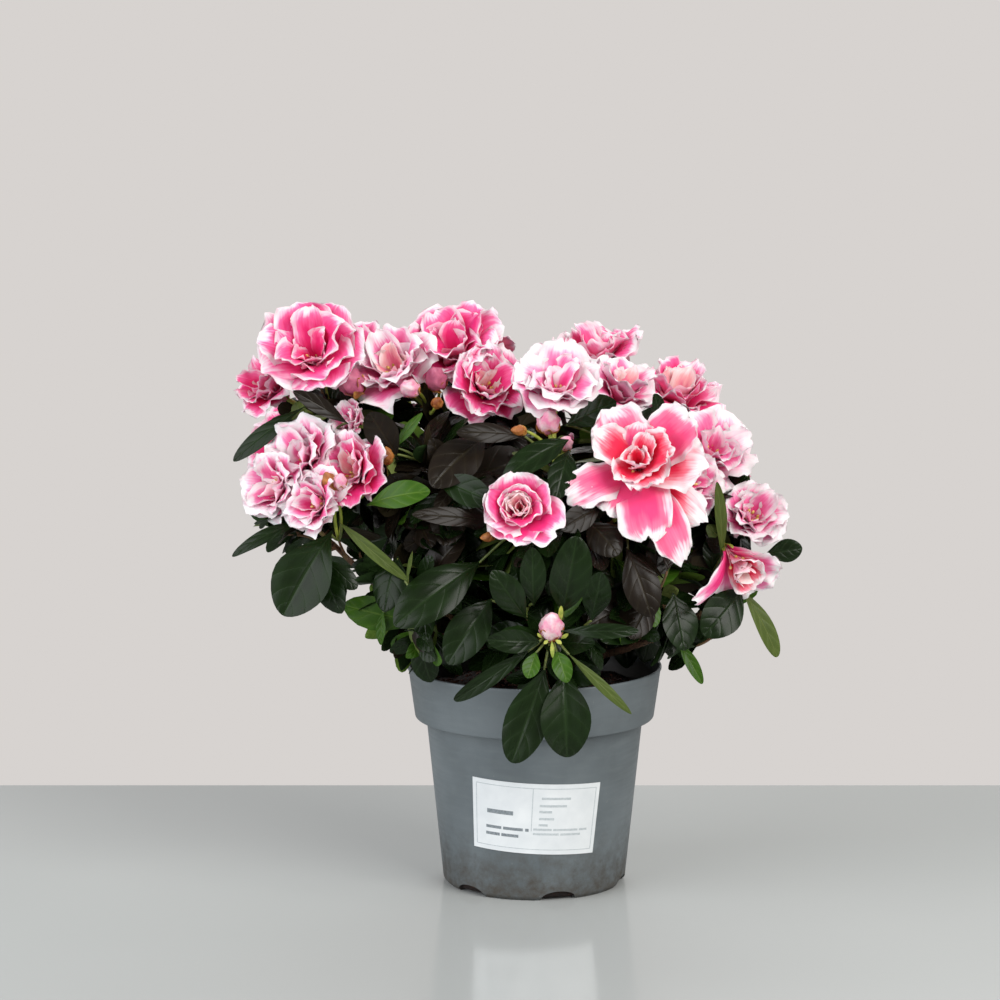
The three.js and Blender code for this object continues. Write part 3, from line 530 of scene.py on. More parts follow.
def tubes(paths, radii, sides, ridge=0.0, ridges=1, spin=0.0):
    """Round tubes along many paths at once, closed at both ends.

    paths is (tubes, steps, 3) and radii (tubes, steps). Each ring lies square to its path, turned so that its
    first corner keeps to one side of it, and ridge waves the radius round the ring by ridges cosines.
    """
    count, steps, _ = paths.shape
    along = unit(np.gradient(paths, axis=1))
    helper = across_of(unit(paths[:, -1] - paths[:, 0]))[0][:, None, :]
    first = unit(helper - (helper * along).sum(-1, keepdims=True) * along)
    second = np.cross(along, first)
    angle = np.arange(sides) * TURN / sides
    wave = angle[None, :] + spin * np.linspace(0, 1, steps)[:, None]
    radius = radii[:, :, None] * (1 + ridge * np.cos(ridges * wave))[None]
    points = (
        paths[:, :, None]
        + (radius * np.cos(angle))[..., None] * first[:, :, None]
        + (radius * np.sin(angle))[..., None] * second[:, :, None]
    )
    skin, ends = ring_faces(steps, sides)
    shift = (np.arange(count) * steps * sides)[:, None, None]
    return points.reshape(-1, 3), (skin[None] + shift).reshape(-1, 4), (ends[None] + shift).reshape(-1, sides)


def joined(parts):
    """Several shapes as one. Their faces, which are whole numbers, are renumbered."""
    shift = np.cumsum([0] + [len(part[0]) for part in parts[:-1]])
    whole = [np.concatenate([part[0] for part in parts])]
    for kind in range(1, len(parts[0])):
        numbers = parts[0][kind].dtype.kind == "i"
        whole.append(np.concatenate([part[kind] + low * numbers for part, low in zip(parts, shift)]))
    return whole


# The map that leaves and petals share has a square tile for each of their variants, four to a side.
TILES = 4
UPPER_TILES = 12
TILE_PAD = 0.02

# Edges that bend more sharply than this stay crisp, so that a thin sheet's two sides are shaded apart.
EDGE_CREASE = 1.4


def closed_sheets(upper, inward, thick, tiles):
    """Thin closed sheets: an upper grid, and a lower one that shares its border and lies thick below it.

    upper and inward are (sheets, along, across, 3). Gives points, faces and the corners' places on the tiles.
    """
    count, rows, columns, _ = upper.shape
    lower = upper[:, 1:-1, 1:-1] - inward[:, 1:-1, 1:-1] * thick
    points = np.concatenate([upper.reshape(count, -1, 3), lower.reshape(count, -1, 3)], axis=1)
    spot, corner = grid_faces(rows, columns)
    under = spot.copy()
    under[1:-1, 1:-1] = rows * columns + np.arange((rows - 2) * (columns - 2)).reshape(rows - 2, columns - 2)
    turned = corner[:, [0, 3, 2, 1]]
    faces = np.concatenate([corner, under.ravel()[turned]])
    spots = np.concatenate([corner, turned])
    shift = (np.arange(count) * points.shape[1])[:, None, None]
    is_under = np.repeat([0, 1], len(corner))[None, :, None]
    tile = np.where(is_under, UPPER_TILES + tiles[:, None, None] % TILES, tiles[:, None, None])
    across = tile % TILES + lerp(TILE_PAD, 1 - TILE_PAD, np.linspace(0, 1, columns)[spots % columns])
    along = tile // TILES + lerp(TILE_PAD, 1 - TILE_PAD, np.linspace(0, 1, rows)[spots // columns])
    places = np.stack(np.broadcast_arrays(across, along), axis=-1) / TILES
    return points.reshape(-1, 3), (faces[None] + shift).reshape(-1, 4), places.reshape(-1, 4, 2)


# Materials


def colour(code):
    """A colour code as the linear values that a shader takes."""
    values = [int(code[place:place + 2], 16) / 255 for place in (0, 2, 4)]
    linear = [value / 12.92 if value <= 0.04045 else ((value + 0.055) / 1.055) ** 2.4 for value in values]
    return (*linear, 1.0)


def node(tree, kind, inputs=(), **settings):
    """A node with its settings. An input is a plain value, a colour code, or a pattern, which gets linked."""
    made = tree.nodes.new(kind)
    for key, value in settings.items():
        setattr(made, key, value)
    for key, value in dict(inputs).items():
        if isinstance(value, Pattern):
            tree.links.new(value.socket, made.inputs[key])
        else:
            made.inputs[key].default_value = colour(value) if isinstance(value, str) else value
    return made


def sum_of(operation, turned=False):
    """A method that makes a Math node of a pattern and other values, the other way round if turned."""
    def method(self, *others):
        """The node's output."""
        values = [self, *others][::-1 if turned else 1]
        return Pattern(node(self.tree, "ShaderNodeMath", dict(enumerate(values)), operation=operation))
    return method


class Pattern:
    """A value that varies over a surface, as a node's output."""

    def __init__(self, made, output=0):
        """The output of a node that has just been made."""
        self.socket = made.outputs[output]
        self.tree = made.id_data

    __add__ = sum_of("ADD")
    __mul__ = sum_of("MULTIPLY")
    __sub__ = sum_of("SUBTRACT")
    __rsub__ = sum_of("SUBTRACT", turned=True)
    __pow__ = sum_of("POWER")
    __abs__ = sum_of("ABSOLUTE")
    sine = sum_of("SINE")
    fraction = sum_of("FRACT")
    above = sum_of("GREATER_THAN")
    larger = sum_of("MAXIMUM")
    softly_smaller = sum_of("SMOOTH_MIN")

    def held(self):
        """The value kept between 0 and 1."""
        self.socket.node.use_clamp = True
        return self


def ramp(factor, stops):
    """A colour by a factor, between stops of (place, colour code)."""
    made = node(factor.tree, "ShaderNodeValToRGB", {"Fac": factor})
    while len(made.color_ramp.elements) < len(stops):
        made.color_ramp.elements.new(0.5)
    for element, (place, code) in zip(made.color_ramp.elements, stops):
        element.position = place
        element.color = colour(code)
    return Pattern(made)


def blend(factor, low, high):
    """A mix of two colours, of which the first or the factor is a pattern."""
    tree = (factor if isinstance(factor, Pattern) else low).tree
    return Pattern(node(tree, "ShaderNodeMix", {0: factor, 6: low, 7: high}, data_type="RGBA"), 2)


def stretched(place, scale):
    """A place with each part scaled."""
    return Pattern(node(place.tree, "ShaderNodeMapping", {"Vector": place, "Scale": scale}))


def noise(place, scale, detail, roughness=0.55):
    """Soft random values round 0.5."""
    inputs = {"Vector": place, "Scale": scale, "Detail": detail, "Roughness": roughness}
    return Pattern(node(place.tree, "ShaderNodeTexNoise", inputs))


def finish(name, **constants):
    """A new material, with the constant values on its shader's own sockets."""
    material = bpy.data.materials.new(name)
    material.use_nodes = True
    for socket, value in constants.items():
        material.node_tree.nodes["Principled BSDF"].inputs[socket.replace("_", " ")].default_value = value
    return material


def dressed(material, base, relief=None, strength=0.0, distance=0.0, roughness=None):
    """A material whose shader gets a colour, small relief from a height, and a roughness where it varies."""
    links, shader = material.node_tree.links, material.node_tree.nodes["Principled BSDF"]
    links.new(base.socket, shader.inputs["Base Color"])
    if roughness:
        links.new(roughness.socket, shader.inputs["Roughness"])
    if relief:
        inputs = {"Height": relief, "Strength": strength, "Distance": distance}
        links.new(node(base.tree, "ShaderNodeBump", inputs).outputs["Normal"], shader.inputs["Normal"])
    return material


def object_place(material):
    """A point's place in the object."""
    return Pattern(node(material.node_tree, "ShaderNodeTexCoord"), "Object")


def tile_place(material):
    """The map's place, and in a tile: how far from the middle line, how far along, and whether underneath."""
    place = Pattern(node(material.node_tree, "ShaderNodeUVMap", uv_map="OFBake"))
    place = stretched(place, (TILES, TILES, 1))
    parts = node(place.tree, "ShaderNodeSeparateXYZ", {"Vector": place})
    across, along = Pattern(parts, "X"), Pattern(parts, "Y")
    return place, abs(across.fraction() * 2.0 - 1.0), along.fraction(), along.above(UPPER_TILES / TILES)


def petal_finish(name, throat, *stops):
    """Petals: a deep middle that frays in streaks and blotches to a white edge, and a warm throat. The edge
    is broader on some petals than on others, by their tile."""
    material = finish(name, Roughness=0.5, Subsurface_Weight=0.35, Subsurface_Scale=0.0012,
                      Subsurface_Radius=(1.0, 0.6, 0.7), Specular_IOR_Level=0.25)
    place, off_middle, along, under = tile_place(material)
    to_tip = 1 - along
    to_edge = ((1 - off_middle) * 0.62 + to_tip ** 2.5 * 0.35).softly_smaller(to_tip, 0.16)
    corner = Pattern(node(place.tree, "ShaderNodeVectorMath", {0: place}, operation="FLOOR"))
    per_tile = Pattern(node(place.tree, "ShaderNodeTexWhiteNoise", {"Vector": corner}), "Value")
    blotches = noise(place, 2.6, 2.0)
    streaks = noise(stretched(place, (15, 1.5, 1)), 1.5, 3.0)
    shift = per_tile * 0.16 + blotches * 0.5 + streaks * 0.24 - 0.44
    body = ramp(to_edge + shift, stops)
    upper = blend(((0.34 - along).held() * 2.4).held(), body, throat)
    lower = blend(0.42, body, "f8a6c6")
    veins = noise(stretched(place, (22, 2.2, 1)), 1.6, 2.0)
    return dressed(material, blend(under, upper, lower), veins, 0.2, 0.0003)


def leaf_finish(name, body, shade, rib, gloss):
    """Leaves: mottled, with a slightly paler midrib, side veins in relief, and a dull paler underside."""
    material = finish(name, Specular_IOR_Level=0.17)
    place, off_middle, along, under = tile_place(material)
    mottle = noise(place, 3.0, 3.0)
    upper = blend((mottle * 1.6 - 0.3).held(), shade, body)
    on_rib = ((0.085 - off_middle).held() * 11.0).held()
    vein = abs(((off_middle * -1.3 + along * 7.0) * math.pi).sine()) ** 0.4
    upper = blend((on_rib * 0.32).larger((1 - vein) * 0.16), upper, rib)
    lower = tuple(lerp(np.array(colour(rib)), np.array(colour(body)), 0.45))
    roughness = mottle * 0.3 + under * 0.25 + (gloss - 0.15)
    return dressed(material, blend(under, upper, lower), vein - on_rib * 1.5, 0.3, 0.0005, roughness)


def bark_finish(name, light, dark, moss):
    """Bark: fine upright cracks between pale brown plates, with a little green."""
    material = finish(name, Roughness=0.85)
    place = object_place(material)
    plates = noise(stretched(place, (900, 900, 260)), 1.0, 5.0, 0.7)
    body = ramp(plates, [(0.36, dark), (0.5, light), (0.68, light)])
    body = blend((noise(place, 130.0, 2.0) * 2.0 - 0.95).held(), body, moss)
    return dressed(material, body, plates, 0.6, 0.0006)


def pot_finish():
    """Moulded plastic: blue grey, faintly marbled, scuffed in rings, with painted shade and splashed soil
    towards the foot, and painted shade on the collar's inside, up to a wavy line."""
    material = finish("pot_grey_plastic", Specular_IOR_Level=0.4)
    place = object_place(material)
    marble = noise(place, 22.0, 4.0)
    body = ramp(marble, [(0.3, "545b5e"), (0.5, "5f676b"), (0.72, "6a7276")])
    streaks = noise(stretched(place, (60, 60, 340)), 1.0, 3.0)
    body = blend((streaks * 0.9 - 0.42).held(), body, "727a7c")
    height = Pattern(node(place.tree, "ShaderNodeSeparateXYZ", {"Vector": place}), "Z")
    # low rises towards the floor: it darkens the wall there as painted shade, and it bounds the splashed soil
    low = (1 - height * (1 / (FOOT_SHADE_AND_SOIL_HEIGHT * MM))).held()
    body = blend(low * 0.32, body, "3f4547")
    splash = noise(place, 150.0, 6.0, 0.72)
    soiled = ((splash * 3.2 - 1.6 + low * 0.75) * low ** 0.7).held()
    body = blend(soiled * 0.85, body, "423b32")
    body = blend((noise(place, 700.0, 2.0) * 4.0 - 2.8).held(), body, "868b89")
    # Painted shade on the collar's inside: dark brown grey from the ledge up to a wavy line under the rim
    flat = stretched(place, (1, 1, 0))
    radius = Pattern(node(place.tree, "ShaderNodeVectorMath", {0: flat}, operation="LENGTH"), "Value")
    slope = (RIM_RADIUS - COLLAR_FOOT_RADIUS) / COLLAR_HEIGHT
    mid_wall = height * slope + (COLLAR_FOOT_RADIUS - POT_WALL / 2 - slope * LEDGE) * MM
    inside = ((mid_wall - radius) * 3000.0).held()
    below = ((splash * 0.01 + (POT_HEIGHT - INSIDE_SHADE_DROP) * MM - height) * 400.0).held()
    above = ((height - LEDGE * MM) * 2000.0).held()
    body = blend(inside * below * above * 0.88, body, "2a221b")
    scuffs = noise(stretched(place, (40, 40, 700)), 1.0, 2.0)
    roughness = scuffs * 0.22 + 0.38 + soiled * 0.3
    return dressed(material, body, marble * 0.6 + splash, 0.14, 0.0005, roughness)


def grained_finish(name, grain, stops, relief=(), **constants):
    """A plain finish of one noise: the noise's size, detail and roughness, the colours that it gives, and the
    strength and depth of its relief."""
    material = finish(name, **constants)
    grains = noise(object_place(material), *grain)
    return dressed(material, ramp(grains, stops), grains if relief else None, *relief)


def soft_finish(name, low, high, scale, roughness=0.5):
    """A soft plant skin between two colours, in blotches."""
    return grained_finish(name, (scale, 3.0), [(0.35, low), (0.65, high)], (0.25, 0.0004),
                          Roughness=roughness, Subsurface_Weight=0.08, Subsurface_Scale=0.002)


def print_finish(name, dark, light):
    """Grey printing ink, a little uneven."""
    return grained_finish(name, (1400.0, 3.0), [(0.35, dark), (0.65, light)], Roughness=0.6)


FINISH = {
    "rose": petal_finish("petal_rose", "d81f5c",
                         (0.08, "f3eaee"), (0.15, "f7cadb"), (0.24, "f16aa0"), (0.42, "e32e76")),
    "pale": petal_finish("petal_pale", "e13a7a",
                         (0.15, "f3ecef"), (0.24, "f6d8e3"), (0.35, "f386b3"), (0.54, "ea4589")),
    "blush": petal_finish("petal_blush", "e13a62",
                          (0.1, "ece3e6"), (0.16, "f2ccd7"), (0.24, "ee7497"), (0.42, "e6447a")),
    "coral": petal_finish("petal_coral", "e0284c",
                          (0.12, "f2eaec"), (0.2, "f5d0d6"), (0.29, "f57e92"), (0.44, "e92f53")),
    "cream": petal_finish("petal_cream", "ee8f7c",
                          (0.07, "f8eeec"), (0.18, "f8dad9"), (0.31, "f4b2b4"), (0.52, "ea7292")),
    "dark": leaf_finish("leaf_dark_green", "15270c", "0c1506", "2f4423", 0.27),
    "bronze": leaf_finish("leaf_bronze", "1e1711", "120e09", "38321f", 0.3),
    "fresh": leaf_finish("leaf_fresh_green", "385c12", "28450f", "74903a", 0.36),
    "olive": leaf_finish("leaf_olive", "505f28", "3c4a20", "7f8a4e", 0.45),
    "bark": bark_finish("bark_brown", "6b4e3b", "291b14", "4f4d33"),
    "twig": bark_finish("twig_brown", "6a4a32", "3c2819", "59602f"),
    "stalk": soft_finish("stalk_green", "7b8c2f", "a9b44a", 300.0),
    "petiole": soft_finish("petiole_green", "4f5b2a", "6f7a3a", 300.0),
    "scale": soft_finish("bud_scale", "9a4f1c", "c79a4a", 260.0, 0.6),
    "calyx": soft_finish("calyx_green", "78882a", "b2b453", 260.0),
    "bud_rose": soft_finish("bud_rose", "a04a68", "cc6f8c", 160.0),
    "bud_pale": soft_finish("bud_pale", "e583a8", "f0d3d8", 220.0),
    "bud_brown": soft_finish("bud_brown", "7c3d12", "b8783a", 300.0, 0.55),
    "filament": soft_finish("filament_pink", "e58ba4", "f7cdd2", 500.0),
    "anther": soft_finish("anther_cream", "b9933f", "ead98c", 500.0, 0.7),
    "pot": pot_finish(),
    "soil": grained_finish("dark_peat", (420.0, 5.0, 0.75),
                           [(0.34, "0f0907"), (0.52, "21120d"), (0.64, "3a1f14"), (0.78, "5c3320")],
                           (0.9, 0.0015), Roughness=0.95),
    "fibre": grained_finish("peat_fibre", (260.0, 4.0, 0.7),
                            [(0.3, "1f0f0a"), (0.52, "452216"), (0.74, "74402a")],
                            (0.5, 0.0006), Roughness=0.85),
    "paper": grained_finish("label_white_paper", (90.0, 4.0), [(0.3, "d2d7da"), (0.7, "dfe3e5")],
                            Roughness=0.42),
    "print": print_finish("print_dark_grey", "6b7479", "899196"),
    "rule": print_finish("print_pale_grey", "a9b1b5", "c0c7ca"),
    "floor": grained_finish("pale_floor", (3.0, 2.0), [(0.3, "b1b5b4"), (0.7, "b6b9b8")], Roughness=0.13,
                            Specular_IOR_Level=0.4),
}


# Pot, label and soil


def body_radius(z):
    """Outer radius of the pot's body at a height, on a straight taper."""
    return lerp(FOOT_RADIUS, BODY_TOP_RADIUS, z / LEDGE)


def rounded(profile, corners, steps=4):
    """A profile of (radius, height) whose named corners become arcs: quadratic curves that start the given
    distance before the corner and end as far after it."""
    line = []
    for index, corner in enumerate(profile):
        corner = np.array(corner, float)
        cut = corners.get(index)
        if cut is None:
            line.append(corner[None])
            continue
        before = corner + unit(np.array(profile[index - 1], float) - corner) * cut
        after = corner + unit(np.array(profile[index + 1], float) - corner) * cut
        share = np.linspace(0, 1, steps + 1)[:, None]
        line.append(lerp(lerp(before, corner, share), lerp(corner, after, share), share))
    return np.concatenate(line)


def lathe(profile, facets):
    """A closed profile of (radius, height) turned about the upright axis, with its ends on it as poles."""
    ring = profile[1:-1]
    here = np.arange(facets)
    turned = (here + 1) % facets
    angle = here * TURN / facets
    around = np.stack([np.cos(angle), np.sin(angle)], axis=1)
    heights = np.repeat(ring[:, None, 1:], facets, 1)
    points = np.concatenate([ring[:, None, :1] * around[None], heights], axis=2)
    poles = np.array([[0, 0, profile[0][1]], [0, 0, profile[-1][1]]])
    last = (len(ring) - 1) * facets
    low_pole = np.stack([np.full(facets, last + facets), turned, here], axis=1)
    high_pole = np.stack([np.full(facets, last + facets + 1), last + here, last + turned], axis=1)
    skin, _ = ring_faces(len(ring), facets)
    return np.concatenate([points.reshape(-1, 3), poles]), skin, np.concatenate([low_pole, high_pole])


def make_pot():
    """The pot: a lathed shell with a stepped collar and a rolled lip, cut by arched notches at its foot."""
    profile = [
        (0, 0), (FOOT_RADIUS - FOOT_CHAMFER, 0), (body_radius(FOOT_CHAMFER), FOOT_CHAMFER),
        (BODY_TOP_RADIUS, LEDGE), (COLLAR_FOOT_RADIUS, LEDGE),
        (RIM_RADIUS - BEAD_STEP, POT_HEIGHT - BEAD_FOOT), (RIM_RADIUS, POT_HEIGHT - BEAD_HEIGHT),
        (RIM_RADIUS, POT_HEIGHT), (RIM_RADIUS - POT_WALL, POT_HEIGHT),
        (COLLAR_FOOT_RADIUS - POT_WALL, LEDGE + POT_WALL), (BODY_TOP_RADIUS - POT_WALL, LEDGE + POT_WALL),
        (body_radius(POT_WALL) - POT_WALL, POT_WALL), (0, POT_WALL),
    ]
    shell = lathe(rounded(profile, POT_ARCS), POT_FACETS)
    pot = build_piece("pot_shell", shell, "pot", ["pot"])
    cutters = notch_cutters()
    cut = pot.modifiers.new("notches", "BOOLEAN")
    cut.operation = "DIFFERENCE"
    cut.solver = "EXACT"
    cut.object = cutters
    shown = pot.evaluated_get(bpy.context.evaluated_depsgraph_get())
    mesh = bpy.data.meshes.new_from_object(shown)
    pot.modifiers.clear()
    pot.data = mesh
    bpy.data.objects.remove(cutters)
    mesh.set_sharp_from_angle(angle=POT_CREASE)


def notch_cutters():
    """Arched prisms round the foot: half ellipses on a flat sill, carried inwards from outside the wall."""
    angle = np.linspace(0, math.pi, 13)
    wide = NOTCH_WIDTH / 2
    arch = np.stack([wide * np.cos(angle), NOTCH_HEIGHT * np.sin(angle) ** 0.8], axis=1)
    arch = np.concatenate([arch, [[-wide, -NOTCH_SILL], [wide, -NOTCH_SILL]]])
    skin, ends = ring_faces(2, len(arch))
    parts = []
    for index in range(NOTCHES):
        turn = NOTCH_TURN + index / NOTCHES * TURN
        out = np.array([math.sin(turn), -math.cos(turn)])
        side = np.array([math.cos(turn), math.sin(turn)])
        rings = []
        for reach in NOTCH_REACH:
            rings.append(np.concatenate([reach * out + arch[:, :1] * side, arch[:, 1:]], axis=1))
        parts.append((np.concatenate(rings), skin, ends))
    points, quads, ends = joined(parts)
    return new_object("notches", (points * MM).tolist(), quads.tolist() + ends.tolist())


def on_pot(flat_x, flat_z, lift):
    """A flat label's point wrapped round the pot's taper: turned a little, then x laid along the girth."""
    x = flat_x * math.cos(LABEL_TURN) - flat_z * math.sin(LABEL_TURN)
    z = LABEL_CENTRE_Z + flat_x * math.sin(LABEL_TURN) + flat_z * math.cos(LABEL_TURN)
    angle = x / body_radius(LABEL_CENTRE_Z)
    radius = body_radius(z) + lift
    return np.stack([radius * np.sin(angle), -radius * np.cos(angle), z], axis=-1)


def wrapped_bar(centre, size, low, high):
    """A thin closed plate on the pot, from one lift above its wall to another: a grid on its outside, one on
    its inside, and strips round its edges."""
    columns, rows = (max(2, int(part / cell) + 1) for part, cell in zip(size, LABEL_CELL))
    x = centre[0] + np.linspace(-0.5, 0.5, columns)[None, :] * size[0] + np.zeros((rows, 1))
    z = centre[1] + np.linspace(-0.5, 0.5, rows)[:, None] * size[1] + np.zeros((1, columns))
    points = np.concatenate([on_pot(x, z, high).reshape(-1, 3), on_pot(x, z, low).reshape(-1, 3)])
    spot, front = grid_faces(rows, columns)
    front = front[:, [0, 3, 2, 1]]
    edge = np.concatenate([spot[0, :], spot[1:, -1], spot[-1, -2::-1], spot[-2:0:-1, 0]])
    turned = np.roll(edge, -1)
    back = rows * columns
    sides = np.stack([edge, edge + back, turned + back, turned], axis=1)
    return points, np.concatenate([front, front[:, ::-1] + back, sides])


# Plain bars where a label has its lines: centre x, centre z, length, height.
DARK_BARS = [
    (-16.6, 2.0, 12.6, 2.0), (-19.6, -5.6, 7.6, 1.4), (-10.2, -5.6, 9.4, 1.4), (-3.6, -5.6, 1.6, 1.4),
    (-20.0, -8.9, 7.0, 1.4), (-11.6, -8.9, 8.2, 1.4),
]
PALE_BARS = [
    (9.2, 10.1, 13.4, 1.1), (8.0, 6.5, 12.6, 1.1), (4.6, 3.6, 5.8, 1.1), (5.2, 0.2, 7.0, 1.1),
    (3.8, -2.8, 4.2, 1.1), (3.6, -5.0, 8.6, 1.0), (14.6, -5.0, 12.0, 1.0), (23.4, -5.0, 4.0, 1.0),
    (5.4, -7.2, 12.2, 1.0), (17.2, -7.2, 9.8, 1.0),
]


def make_label():
    """A paper label with a thin frame, one upright rule and plain bars where a label has its lines."""
    sheet = wrapped_bar((0, 0), (LABEL_WIDTH, LABEL_HEIGHT), *PAPER_LIFTS)
    build_piece("label_sheet", sheet, "paper", ["label"], crease=LABEL_CREASE)
    rules = [(0, side * FRAME_HEIGHT / 2, FRAME_WIDTH, RULE) for side in (-1, 1)]
    rules += [(side * FRAME_WIDTH / 2, 0, RULE, FRAME_HEIGHT) for side in (-1, 1)]
    rules.append(UPRIGHT_RULE)
    for name, bars, ink in (("label_rules", rules + PALE_BARS, "rule"), ("label_bars", DARK_BARS, "print")):
        plates = joined([wrapped_bar(bar[:2], bar[2:], *PRINT_LIFTS) for bar in bars])
        build_piece(name, plates, ink, crease=LABEL_CREASE)


def soil_height(x, y):
    """The peat's surface: low mounds and hollows as a sum of slanted sines, falling towards the wall."""
    radius = np.hypot(x, y)
    waves = np.zeros_like(x)
    random = seeded_by("soil")
    for length, height in SOIL_WAVES:
        for turn, phase in zip(random.uniform(0, TURN, 4), random.uniform(0, TURN, 4)):
            waves += height / 2 * np.sin((x * math.cos(turn) + y * math.sin(turn)) * TURN / length + phase)
    fall = SOIL_EDGE_DROP * np.clip((radius - SOIL_LEVEL_TO) / SOIL_FALL_ACROSS, 0, 1) ** 1.5
    calm = np.clip((radius - 3) / 9, 0.2, 1)
    return SOIL_TOP - SOIL_SUNK - fall + waves * calm


def make_soil():
    """Peat: a bumpy round surface over a plain body that fills the pot, with crumbs and fibres on it."""
    radius = (RIM_RADIUS - POT_WALL - CLEAR - 1.6) * np.linspace(0.015, 1, SOIL_RINGS)[:, None]
    angle = np.arange(SOIL_FACETS)[None] * TURN / SOIL_FACETS
    x, y = radius * np.cos(angle), radius * np.sin(angle)
    gap = POT_WALL + CLEAR
    rings = [np.stack([x, y, soil_height(x, y)], axis=-1)]
    below = ((COLLAR_FOOT_RADIUS, LEDGE + gap), (BODY_TOP_RADIUS, LEDGE + gap), (body_radius(gap), gap))
    for radius, z in below:
        x, y = (radius - gap) * np.cos(angle), (radius - gap) * np.sin(angle)
        rings.append(np.stack([x, y, np.full(angle.shape, z)], axis=-1))
    points = np.concatenate(rings)
    skin, ends = ring_faces(len(points), SOIL_FACETS)
    shape = (points.reshape(-1, 3), skin[:, [0, 3, 2, 1]], ends[:, ::-1])
    build_piece("peat_surface", shape, "soil", ["soil"])
    random = seeded_by("crumbs")
    make_crumbs(random, CRUMBS)
    make_fibres(random, FIBRES)


def on_soil(random, count, inner):
    """Random places on the peat, outside the trunk's foot."""
    radius = np.sqrt(random.uniform(inner ** 2, SOIL_RADIUS ** 2, count))
    angle = random.uniform(0, TURN, count)
    x, y = radius * np.cos(angle), radius * np.sin(angle)
    return np.stack([x, y, soil_height(x, y)], axis=-1)


def make_crumbs(random, count):
    """Crumbs of bark and peat: octahedra with each corner pushed out by its own share, half sunk in."""
    centres = on_soil(random, count, CRUMBS_FROM)
    size = random.uniform(*CRUMB_SIZES, (count, 1, 1)) * random.uniform(0.6, 1.3, (count, 6, 1))
    turn = random.uniform(0, TURN, (count, 1))
    x = np.array([1, 0, -1, 0, 0, 0]) * random.uniform(0.7, 1.9, (count, 1))
    y = np.array([0, 1, 0, -1, 0, 0]) * np.ones((count, 1))
    z = np.array([0, 0, 0, 0, 1, -1]) * np.full((count, 1), 0.7)
    spun = np.stack([x * np.cos(turn) - y * np.sin(turn), x * np.sin(turn) + y * np.cos(turn), z], axis=-1)
    points = centres[:, None] + spun * size
    faces = np.array([[0, 1, 4], [1, 2, 4], [2, 3, 4], [3, 0, 4], [1, 0, 5], [2, 1, 5], [3, 2, 5], [0, 3, 5]])
    faces = (faces[None] + (np.arange(count) * 6)[:, None, None]).reshape(-1, 3)
    build_piece("peat_crumbs", (points.reshape(-1, 3), faces), "fibre", smooth=False)


def make_fibres(random, count):
    """Short fibres that lie on the peat: thin tubes on shallow arcs."""
    centres = on_soil(random, count, FIBRES_FROM)
    length = random.uniform(*FIBRE_LENGTHS, (count, 1))
    turn = random.uniform(0, TURN, (count, 1))
    share = np.linspace(-0.5, 0.5, 5)[None]
    curl = random.uniform(-0.5, 0.5, (count, 1)) * length * (0.25 - share ** 2)
    x = centres[:, :1] + np.cos(turn) * share * length - np.sin(turn) * curl
    y = centres[:, 1:2] + np.sin(turn) * share * length + np.cos(turn) * curl
    inside = np.minimum(1, (SOIL_RADIUS + 0.5) / np.maximum(np.hypot(x, y), 1e-6))
    x, y = x * inside, y * inside
    paths = np.stack([x, y, soil_height(x, y) + 0.35], axis=-1)
    radii = random.uniform(*FIBRE_RADII, (count, 1)) * np.ones((1, 5))
    build_piece("peat_fibres", tubes(paths, radii, 5), "fibre")


# Limbs


def trunk_at(shares):
    """Points on the trunk's centre line, by its length."""
    return curve(TRUNK_LINE, np.atleast_1d(shares))


def place_mass(mass):
    """A mass's bough, the direction it ends in, and the way its shoots spread, as in the solids."""
    centre = np.array(mass["centre"], float)
    tier = mass["tier"]
    start = trunk_at(lerp(BOUGH_LOWEST, BOUGH_HIGHEST, tier))[0]
    foot = centre - unit(centre - start) * BOUGH_REACH * mass["reach"]
    share = lerp(*BEND_ACROSS, tier)
    rise = lerp(start[2], foot[2], BEND_UP + BEND_UP_BY_TIER * tier) + BEND_LIFT
    bend = np.array([*lerp(start[:2], foot[:2], share), rise])
    flat = (centre - start) * [1, 1, 0]
    outward = unit(unit(flat) + 0.45 * UP)
    return {**mass, "centre": centre, "line": (start, bend, foot), "foot": foot,
            "along": unit(foot - bend), "outward": outward}


def relief(points, centre_line, amount, seed):
    """Bark relief: every point moves out from the limb's line by a sum of sines that run slantwise on it."""
    random = np.random.default_rng(seed)
    off = points - centre_line
    out = unit(off)
    rise = np.zeros(points.shape[:-1])
    for length, share in BARK_WAVES:
        slant = unit(random.normal(size=(3, 3))) * [[1.6, 1.6, 0.7]]
        for way, phase in zip(slant, random.uniform(0, TURN, 3)):
            rise += share / 3 * np.sin(points @ way * TURN / length + phase)
    return points + out * (rise * amount)[..., None]


